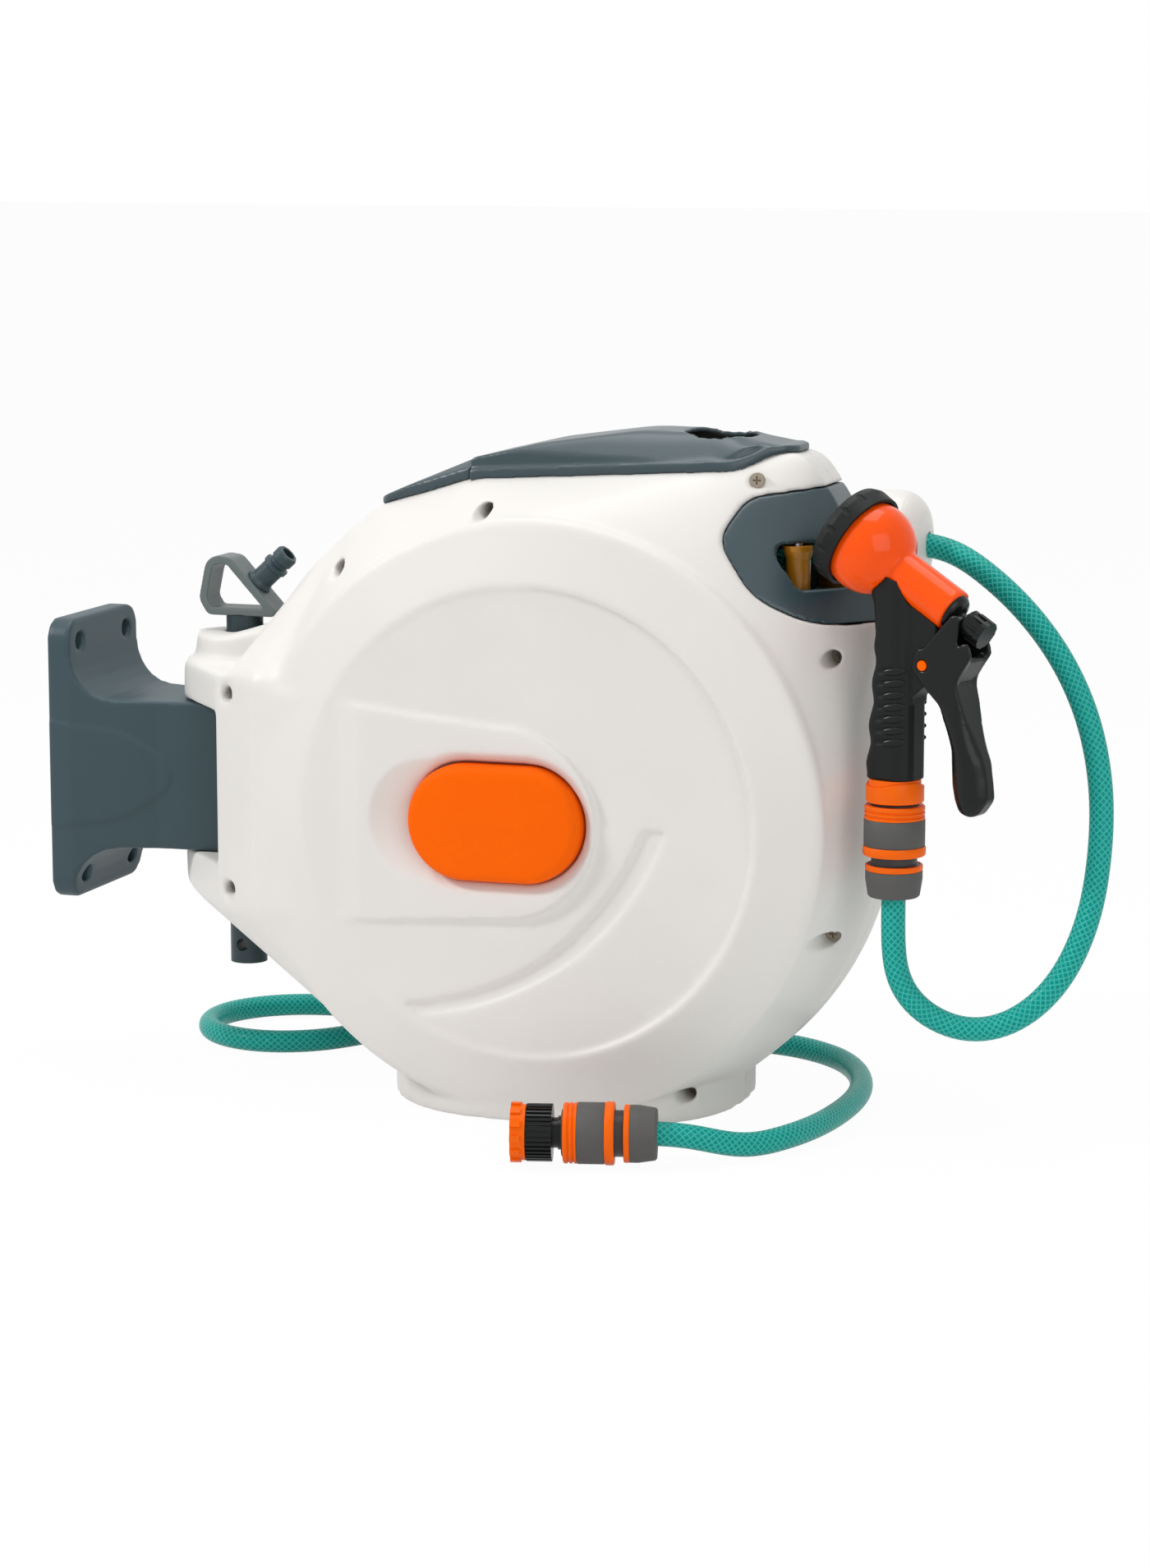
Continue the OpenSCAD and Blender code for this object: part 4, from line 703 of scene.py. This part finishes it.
def ring_piece(name, place, axis, section, body, slot, wave=0.0):
    """A ring turned from a closed section; a wave lifts and lowers its last points."""
    form = bmesh.new()
    first = axis.orthogonal().normalized()
    second = axis.cross(first)
    top = section[-2][1]
    rings = []
    for k in range(RING_SIDES):
        turn = 2 * math.pi * k / RING_SIDES
        out = math.cos(turn) * first + math.sin(turn) * second
        lift = wave * math.cos(WAVE_CYCLES * turn)
        ring = []
        for radius, height in section:
            share = max(0.0, 1 - abs(height - top) / WAVE_REACH) if wave else 0.0
            point = place + out * radius + axis * (height + lift * share)
            ring.append(form.verts.new(point * MM + REEL))
        rings.append(ring)
    count = len(section)
    for k, ring in enumerate(rings):
        after = rings[(k + 1) % RING_SIDES]
        for i in range(count):
            n = (i + 1) % count
            form.faces.new((ring[i], after[i], after[n], ring[n]))
    bmesh.ops.recalc_face_normals(form, faces=form.faces)
    mesh = as_mesh(form, name)
    mesh.shade_smooth()
    mesh.set_sharp_from_angle(angle=RING_SHARP)
    return add_piece(name, mesh, body, slot)


def smoothing(piece, name, passes):
    """A smoothing of a number of passes, still to be applied."""
    smooth = piece.modifiers.new(name, "SMOOTH")
    smooth.factor = SMOOTH_FACTOR
    smooth.iterations = passes
    return smooth


def softened(node, voxel, passes, keep, shape=None, web=None, melt=None):
    """A copy of a node with moulded, rounded edges, in place of it.

    A web is added to it, a shape moves its points, and where melt gives more than nought its
    forms run together.
    """
    mesh = NODES[node].data.copy()
    piece = add_piece(node + "_moulding", mesh, BODY_OF[node], SLOT_OF[node])
    if web:
        web(piece.data)
    remesh = piece.modifiers.new("remesh", "REMESH")
    remesh.mode = "VOXEL"
    remesh.voxel_size = voxel
    remesh.use_smooth_shade = True
    if shape:
        for point in applied(piece).vertices:
            point.co = shape(point.co)
    if melt:
        shares = [melt(point.co) for point in applied(piece).vertices]
        spots = piece.vertex_groups.new(name="melt")
        for index, share in enumerate(shares):
            if share > 0:
                spots.add([index], share, "REPLACE")
        smoothing(piece, "flow", MELT_PASSES).vertex_group = "melt"
    smoothing(piece, "smooth", passes)
    thin = piece.modifiers.new("thin", "DECIMATE")
    thin.ratio = keep
    mesh = applied(piece)
    mesh.materials.clear()
    mesh.materials.append(node_finish(node))
    mesh.shade_smooth()
    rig.replaces(piece, node)


# Shapes of the softened mouldings

def ramp(value, start, end):
    """Nought before start, one after end, and a straight line between."""
    return min(1.0, max(0.0, (value - start) / (end - start)))


def between(value, places, results):
    """The result at a value, on straight lines between given places."""
    for a, b, low, high in zip(places, places[1:], results, results[1:]):
        if value <= b:
            return low + (high - low) * max(0.0, value - a) / (b - a)
    return results[-1]


def ear_melt(co):
    """How far the hinge ears run into the housing, away from their slot, their pin and the seam."""
    at = (co - REEL) / MM
    over = max(ramp(at.z, *EAR_ABOVE), ramp(-at.z, *EAR_BELOW))
    clear = ramp(math.hypot(at.x - HINGE_X, at.y), *EAR_OFF_PIN)
    return ramp(-at.x, *EAR_REACH) * over * clear * ramp(abs(at.y), *EAR_OFF_SEAM)


def lip_shape(co):
    """The handle's lip, fuller at the corner where it turns in."""
    at = (co - REEL) / MM
    turn = max(0.0, 1 - ((at.x - LIP_TURN_X) / LIP_TURN_REACH) ** 2) ** 2
    push = LIP_PUSH * turn * ramp(abs(at.y), *LIP_BAND)
    return co + Vector((0, math.copysign(push, at.y), -LIP_DROP * push)) * MM


def crown_melt(co):
    """How far the handle's faces run together, away from its lip and its finger opening."""
    at = (co - REEL) / MM
    side = ramp(between(at.x, CROWN_PLACES, CROWN_HALF) - abs(at.y), *CROWN_OFF_SIDE)
    along = max(0.0, abs(at.x - OPENING_X) - OPENING_HALF[0])
    across = max(0.0, abs(at.y) - OPENING_HALF[1])
    opening = ramp(math.hypot(along, across) - OPENING_RADIUS, *CROWN_OFF_OPENING)
    left = ramp(at.x - CROWN_LEFT, *CROWN_OFF_LEFT)
    right = ramp(CROWN_RIGHT - at.x, *CROWN_OFF_RIGHT)
    return side * left * right * opening * ramp(at.z, *CROWN_HEIGHT)


def gun_frame():
    """From millimetres over the gun's foot to the scene."""
    turn = Matrix.Rotation(GUN_TURN, 4, "Z")
    size = Matrix.Scale(MM, 4)
    return Matrix.Translation(REEL) @ size @ Matrix.Translation(GUN_AT) @ turn


def lever_web(mesh):
    """Close the trigger's back between its cheeks."""
    form = bmesh.new()
    form.from_mesh(mesh)
    place = gun_frame()
    near, far = (
        [form.verts.new(place @ Vector((x, y, z))) for x, z in LEVER_WEB]
        for y in (-LEVER_WEB_HALF, LEVER_WEB_HALF)
    )
    faces = [form.faces.new(near), form.faces.new(list(reversed(far)))]
    for i, corner in enumerate(near):
        n = (i + 1) % len(LEVER_WEB)
        faces.append(form.faces.new((corner, far[i], far[n], near[n])))
    bmesh.ops.recalc_face_normals(form, faces=faces)
    form.to_mesh(mesh)
    form.free()


def grip_shape():
    """The grip drawn in towards its top, with waves for the fingers along its front."""
    frame_in = gun_frame()
    frame_out = frame_in.inverted()

    def shape(co):
        at = frame_out @ co
        front = max(0.0, at.x) / GRIP_HALF
        turn = math.tau * (at.z - GRIP_WAVE_START) / GRIP_WAVE_LENGTH
        wave = between(at.z, WAVE_HEIGHTS, WAVE_SHARE) * GRIP_WAVE * math.cos(turn)
        at.x += front * (wave - between(at.z, GRIP_HEIGHTS, GRIP_DRAW))
        return frame_in @ at

    return shape


def lever_shape():
    """The trigger's lower end as a rounded lever that swells to its tip."""
    frame_in = gun_frame()
    frame_out = frame_in.inverted()
    wide_heights = (0, LEVER_WIDE_TO, LEVER_STEP)
    wide_shares = (LEVER_WIDEN, LEVER_WIDEN, LEVER_CHEEK / LEVER_HALF)

    def shape(co):
        at = frame_out @ co
        front = between(at.z, LEVER_HEIGHTS, LEVER_FRONT)
        back = between(at.z, LEVER_HEIGHTS, LEVER_BACK)
        middle = (front + back) / 2
        edge = min(1.0, abs((at.x - middle) / (front - back) * 2))
        tip = math.sqrt(min(1.0, max(LEVER_TIP_LEAST, (at.z - LEVER_TIP) / LEVER_TIP_LENGTH)))
        share = ramp(LEVER_ROUND_TOP - at.z, 0, LEVER_ROUND_FADE)
        share *= share * (3 - 2 * share)
        if at.z < LEVER_STEP:
            across = at.y * between(at.z, wide_heights, wide_shares)
            at.y = max(-LEVER_CHEEK, min(LEVER_CHEEK, across))
        at.y *= tip * (1 - share + share * math.sqrt(1 - LEVER_ROUND * edge * edge))
        swell = between(at.z, LEVER_HEIGHTS, LEVER_SWELL)
        at.x = middle + (at.x - middle) * (1 - share + share * swell)
        return frame_in @ at

    return shape


# Hoses

def through(points, step):
    """A smooth line through points, as points about one step apart."""
    ends = [points[0] * 2 - points[1], *points, points[-1] * 2 - points[-2]]
    line = []
    for a, b, c, d in zip(ends, ends[1:], ends[2:], ends[3:]):
        count = max(2, round((c - b).length / step))
        slope = c - a
        bend = 2 * a - 5 * b + 4 * c - d
        twist = 3 * b - a - 3 * c + d
        for k in range(count):
            t = k / count
            line.append(0.5 * (2 * b + slope * t + bend * t * t + twist * t**3))
    return [*line, points[-1]]


def eased(line, passes=20, held=3):
    """A line with the ripple of its curves smoothed out and its ends as they were."""
    for _ in range(passes):
        threes = zip(line[held - 1 :], line[held:-held], line[held + 1 :])
        middle = [(a + 2 * b + c) / 4 for a, b, c in threes]
        line = [*line[:held], *middle, *line[-held:]]
    return line


def hose_mesh(name, line, radius, sides=28):
    """A closed tube along a line, with a map of metres along it and turns round it."""
    form = bmesh.new()
    chart = form.loops.layers.uv.new("hose")
    turns = [2 * math.pi * k / sides for k in range(sides)]
    normal = None
    rings, run, distance = [], [], 0.0
    for i, p in enumerate(line):
        way = (line[min(i + 1, len(line) - 1)] - line[max(i - 1, 0)]).normalized()
        normal = normal or way.orthogonal()
        normal = (normal - way * normal.dot(way)).normalized()
        side = way.cross(normal)
        distance += (p - line[i - 1]).length if i else 0.0
        run.append(distance)
        spokes = [math.cos(t) * normal + math.sin(t) * side for t in turns]
        rings.append([form.verts.new(p + radius * spoke) for spoke in spokes])
    for i in range(len(rings) - 1):
        for k in range(sides):
            n = (k + 1) % sides
            face = form.faces.new((rings[i][k], rings[i][n], rings[i + 1][n], rings[i + 1][k]))
            face.smooth = True
            corners = ((i, k), (i, k + 1), (i + 1, k + 1), (i + 1, k))
            for loop, (d, t) in zip(face.loops, corners):
                loop[chart].uv = (run[d], t / sides)
    form.faces.new(reversed(rings[0]))
    form.faces.new(rings[-1])
    return as_mesh(form, name)


def from_reel(points):
    return [REEL + Vector(p) * MM for p in points]


# Operators

class PieceOperator:
    """What the operators have in common"""

    bl_options = {"REGISTER", "UNDO"}


class HOSEREEL_OT_finishes(PieceOperator, bpy.types.Operator):
    """Give every solid the finish of its material slot, or its own"""

    bl_idname = "hosereel.finishes"
    bl_label = "Finish Solids"

    def execute(self, context):
        for node, piece in NODES.items():
            piece.data.materials.clear()
            piece.data.materials.append(node_finish(node))
        return {"FINISHED"}


class HOSEREEL_OT_housing(PieceOperator, bpy.types.Operator):
    """Mould both halves of the housing and the hub cap with soft edges"""

    bl_idname = "hosereel.housing"
    bl_label = "Housing"

    def execute(self, context):
        for node in ("near_shell", "far_shell"):
            softened(node, sizes().shell_voxel, SHELL_PASSES, SHELL_KEEP, melt=ear_melt)
        softened("hub_cap", sizes().trim_voxel, CAP_PASSES, CAP_KEEP)
        return {"FINISHED"}


class HOSEREEL_OT_mouldings(PieceOperator, bpy.types.Operator):
    """Mould bracket, handle, tray, bezel, loop, grip, trigger and gun with soft edges"""

    bl_idname = "hosereel.mouldings"
    bl_label = "Smaller Mouldings"

    def execute(self, context):
        forms = {
            "carry_handle": {"shape": lip_shape, "melt": crown_melt},
            "gun_grip": {"shape": grip_shape()},
            "gun_trigger": {"shape": lever_shape(), "web": lever_web},
        }
        for node, (share, passes, keep) in MOULDINGS.items():
            softened(node, sizes().trim_voxel * share, passes, keep, **forms.get(node, {}))
        return {"FINISHED"}


class HOSEREEL_OT_connectors(PieceOperator, bpy.types.Operator):
    """Turn the connectors' collars, sleeves and bands, and the gun's sleeve and gland"""

    bl_idname = "hosereel.connectors"
    bl_label = "Connectors"

    def execute(self, context):
        orange = "coupler_orange"
        for name, (place, axis) in CONNECTORS.items():
            collar = BODY_OF[name + "_coupler_collar"]
            sleeve = ring_piece(
                name + "_sleeve", place, axis, COLLAR_SLEEVE, collar, "coupler_grey"
            )
            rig.replaces(sleeve, name + "_coupler_collar")
            ring_piece(name + "_collar_front", place, axis, COLLAR_FRONT, collar, orange)
            ring_piece(name + "_collar_rim", place, axis, COLLAR_RIM, collar, orange)
            body = BODY_OF[name + "_coupler_body"]
            ring_piece(name + "_nut_band", place, axis, NUT_BAND, body, orange)
        base = BODY_OF["gun_base"]
        ring_piece("gun_base_sleeve", GUN_AT, GUN_DOWN, BASE_SLEEVE, base, orange, BASE_WAVE)
        barrel = Vector((math.cos(BARREL_TILT), 0, math.sin(BARREL_TILT)))
        barrel.rotate(Matrix.Rotation(GUN_TURN, 3, "Z"))
        head = GUN_AT + BARREL_RISE
        ring_piece("barrel_gland", head, barrel, BARREL_GLAND, BODY_OF["gun_body"], "black")
        return {"FINISHED"}


class HOSEREEL_OT_grip_pads(PieceOperator, bpy.types.Operator):
    """Stack oval pads on both sides of the gun's grip"""

    bl_idname = "hosereel.grip_pads"
    bl_label = "Grip Pads"

    def execute(self, context):
        form = bmesh.new()
        x, y, z = PAD_AT
        lean = Matrix.Rotation(PAD_LEAN, 4, "Y")
        shape = Matrix.Diagonal((*PAD_HALF, 1))
        for side in (-1, 1):
            turn = Matrix.Rotation(PAD_TURN * side, 4, "Z")
            for k in range(PAD_COUNT):
                place = Matrix.Translation((x, side * y, z + PAD_PITCH * k)) @ (lean @ turn)
                bmesh.ops.create_uvsphere(
                    form,
                    u_segments=24,
                    v_segments=12,
                    radius=1.0,
                    matrix=gun_frame() @ place @ shape,
                )
        mesh = as_mesh(form, "gun_grip_pads")
        mesh.shade_smooth()
        add_piece("gun_grip_pads", mesh, BODY_OF["gun_grip"], "black")
        return {"FINISHED"}


class HOSEREEL_OT_winding(PieceOperator, bpy.types.Operator):
    """Wind the hose on the drum in smooth layers"""

    bl_idname = "hosereel.winding"
    bl_label = "Wound Hose"

    def execute(self, context):
        layers = zip(("wound_hose", "hose_layers"), WINDING_RADII, (1, -1))
        for node, radius, hand in layers:
            line = []
            for i in range(WINDING_STEPS + 1):
                turn = 2 * math.pi * i * WINDING_TURNS / WINDING_STEPS
                across = hand * WINDING_PITCH * WINDING_TURNS * (i / WINDING_STEPS - 0.5)
                line.append((radius * math.sin(turn), across, radius * math.cos(turn)))
            name = node + "_braided"
            mesh = hose_mesh(name, from_reel(line), sizes().hose_width / 2, WINDING_SIDES)
            piece = add_piece(name, mesh, BODY_OF[node], "hose")
            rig.replaces(piece, node)
        return {"FINISHED"}


class HOSEREEL_OT_hoses(PieceOperator, bpy.types.Operator):
    """Lay the braided hoses along their routes"""

    bl_idname = "hosereel.hoses"
    bl_label = "Hoses"

    def execute(self, context):
        floor = [(x, y, HOSE_FLOOR) for x, y in LEADER_LAY]
        gun = [
            piece
            for node, piece in NODES.items()
            if node.startswith("gun_coupler") or BODY_OF[node] in ("selector", "knob")
        ]
        tap = [piece for node, piece in NODES.items() if node.startswith("tap_")]
        for node, route, length, end, pieces in (
            ("gun_hose", GUN_ROUTE, GUN_HOSE_LENGTH, "tool", gun),
            ("leader_hose", LEADER_DROP + floor + LEADER_END, LEADER_LENGTH, "connector", tap),
        ):
            line = eased(through(from_reel(route), ROUTE_STEP))
            name = node + "_braided"
            mesh = hose_mesh(name, line, sizes().hose_width / 2)
            piece = add_piece(name, mesh, BODY_OF[node], "hose")
            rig.replaces(piece, node)
            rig.cord(
                piece, exit=line[0], length=length, diameter=sizes().hose_width, far_end=end,
                stiffness="stiff", lay="loose", path=line, with_pieces=pieces,
            )
        return {"FINISHED"}


class HOSEREEL_OT_stage(PieceOperator, bpy.types.Operator):
    """Set the floor, the lights and the photograph's camera"""

    bl_idname = "hosereel.stage"
    bl_label = "Stage"

    def execute(self, context):
        scene = context.scene
        scene.view_settings.view_transform = "Standard"
        self.floor()
        self.world(scene)
        self.lights(scene)
        self.camera(scene)
        return {"FINISHED"}

    def floor(self):
        """A pale floor that looks white and keeps the part's shadow."""
        bpy.ops.mesh.primitive_plane_add(size=FLOOR_SIZE, location=(0, 0, FLOOR_Z - FLOOR_GAP))
        floor = bpy.context.object
        floor.name = "floor"
        material, tree, shader = blank("pale_floor")
        shader.inputs["Base Color"].default_value = FLOOR_TONE
        shader.inputs["Roughness"].default_value = FLOOR_ROUGHNESS
        glow = tree.nodes.new("ShaderNodeEmission")
        glow.inputs["Strength"].default_value = 1.0
        mix = tree.nodes.new("ShaderNodeMixShader")
        share = math_node(tree, "MULTIPLY", seen_ray(tree), FLOOR_GLOW)
        tree.links.new(share, mix.inputs["Fac"])
        tree.links.new(shader.outputs["BSDF"], mix.inputs[1])
        tree.links.new(glow.outputs["Emission"], mix.inputs[2])
        tree.links.new(mix.outputs["Shader"], tree.nodes["Material Output"].inputs["Surface"])
        floor.data.materials.append(material)
        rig.stage(floor)

    def world(self, scene):
        """A world that lights the part softly and looks white."""
        world = bpy.data.worlds.new("studio")
        scene.world = world
        world.use_nodes = True
        tree = world.node_tree
        background = tree.nodes["Background"]
        seen = math_node(tree, "MULTIPLY", seen_ray(tree), WORLD_SEEN)
        level = math_node(tree, "ADD", seen, WORLD_LIGHT)
        tree.links.new(level, background.inputs["Strength"])
        background.inputs["Color"].default_value = (1, 1, 1, 1)

    def lights(self, scene):
        for name, place, aim, power, size in LIGHTS:
            data = bpy.data.lights.new(name, "AREA")
            data.energy = power
            data.size = size
            lamp = bpy.data.objects.new(name, data)
            lamp.location = place
            way = Vector(aim) - Vector(place)
            lamp.rotation_euler = way.to_track_quat("-Z", "Y").to_euler()
            scene.collection.objects.link(lamp)

    def camera(self, scene):
        data = bpy.data.cameras.new("photo_camera")
        data.sensor_width = SENSOR
        data.lens = FOCAL_PIXELS / IMAGE_HEIGHT * SENSOR
        camera = bpy.data.objects.new("photo_camera", data)
        camera.location = REEL + CAMERA_FROM_REEL
        forward = Vector((
            -math.sin(CAMERA_AZIMUTH) * math.cos(CAMERA_ELEVATION),
            math.cos(CAMERA_AZIMUTH) * math.cos(CAMERA_ELEVATION),
            -math.sin(CAMERA_ELEVATION),
        ))
        camera.rotation_euler = forward.to_track_quat("-Z", "Y").to_euler()
        scene.collection.objects.link(camera)
        scene.camera = camera


class HOSEREEL_PT_panel(bpy.types.Panel):
    """Steps, sizes and colours of the hose reel"""

    bl_label = "Hose Reel"
    bl_idname = "HOSEREEL_PT_panel"
    bl_space_type = "VIEW_3D"
    bl_region_type = "UI"
    bl_category = "Hose Reel"

    def draw(self, context):
        for operator in STEPS:
            self.layout.operator(operator.bl_idname)
        for group in (context.scene.reel_sizes, context.scene.reel_colours):
            box = self.layout.box()
            for name in group.__annotations__:
                box.prop(group, name)


STEPS = (
    HOSEREEL_OT_finishes,
    HOSEREEL_OT_housing,
    HOSEREEL_OT_mouldings,
    HOSEREEL_OT_connectors,
    HOSEREEL_OT_grip_pads,
    HOSEREEL_OT_winding,
    HOSEREEL_OT_hoses,
    HOSEREEL_OT_stage,
)
CLASSES = (ReelSizes, ReelColours, *STEPS, HOSEREEL_PT_panel)


def register():
    for item in CLASSES:
        bpy.utils.register_class(item)
    bpy.types.Scene.reel_sizes = PointerProperty(type=ReelSizes)
    bpy.types.Scene.reel_colours = PointerProperty(type=ReelColours)


def unregister():
    del bpy.types.Scene.reel_colours
    del bpy.types.Scene.reel_sizes
    for item in reversed(CLASSES):
        bpy.utils.unregister_class(item)


def main():
    register()
    for step in STEPS:
        name = step.bl_idname.split(".")[1]
        getattr(bpy.ops.hosereel, name)()
    with open("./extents.json", "w") as file:
        json.dump({"cad": CAD_BOX, "visual": [list(corner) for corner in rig.bounds()]}, file)


if __name__ == "__main__":
    main()
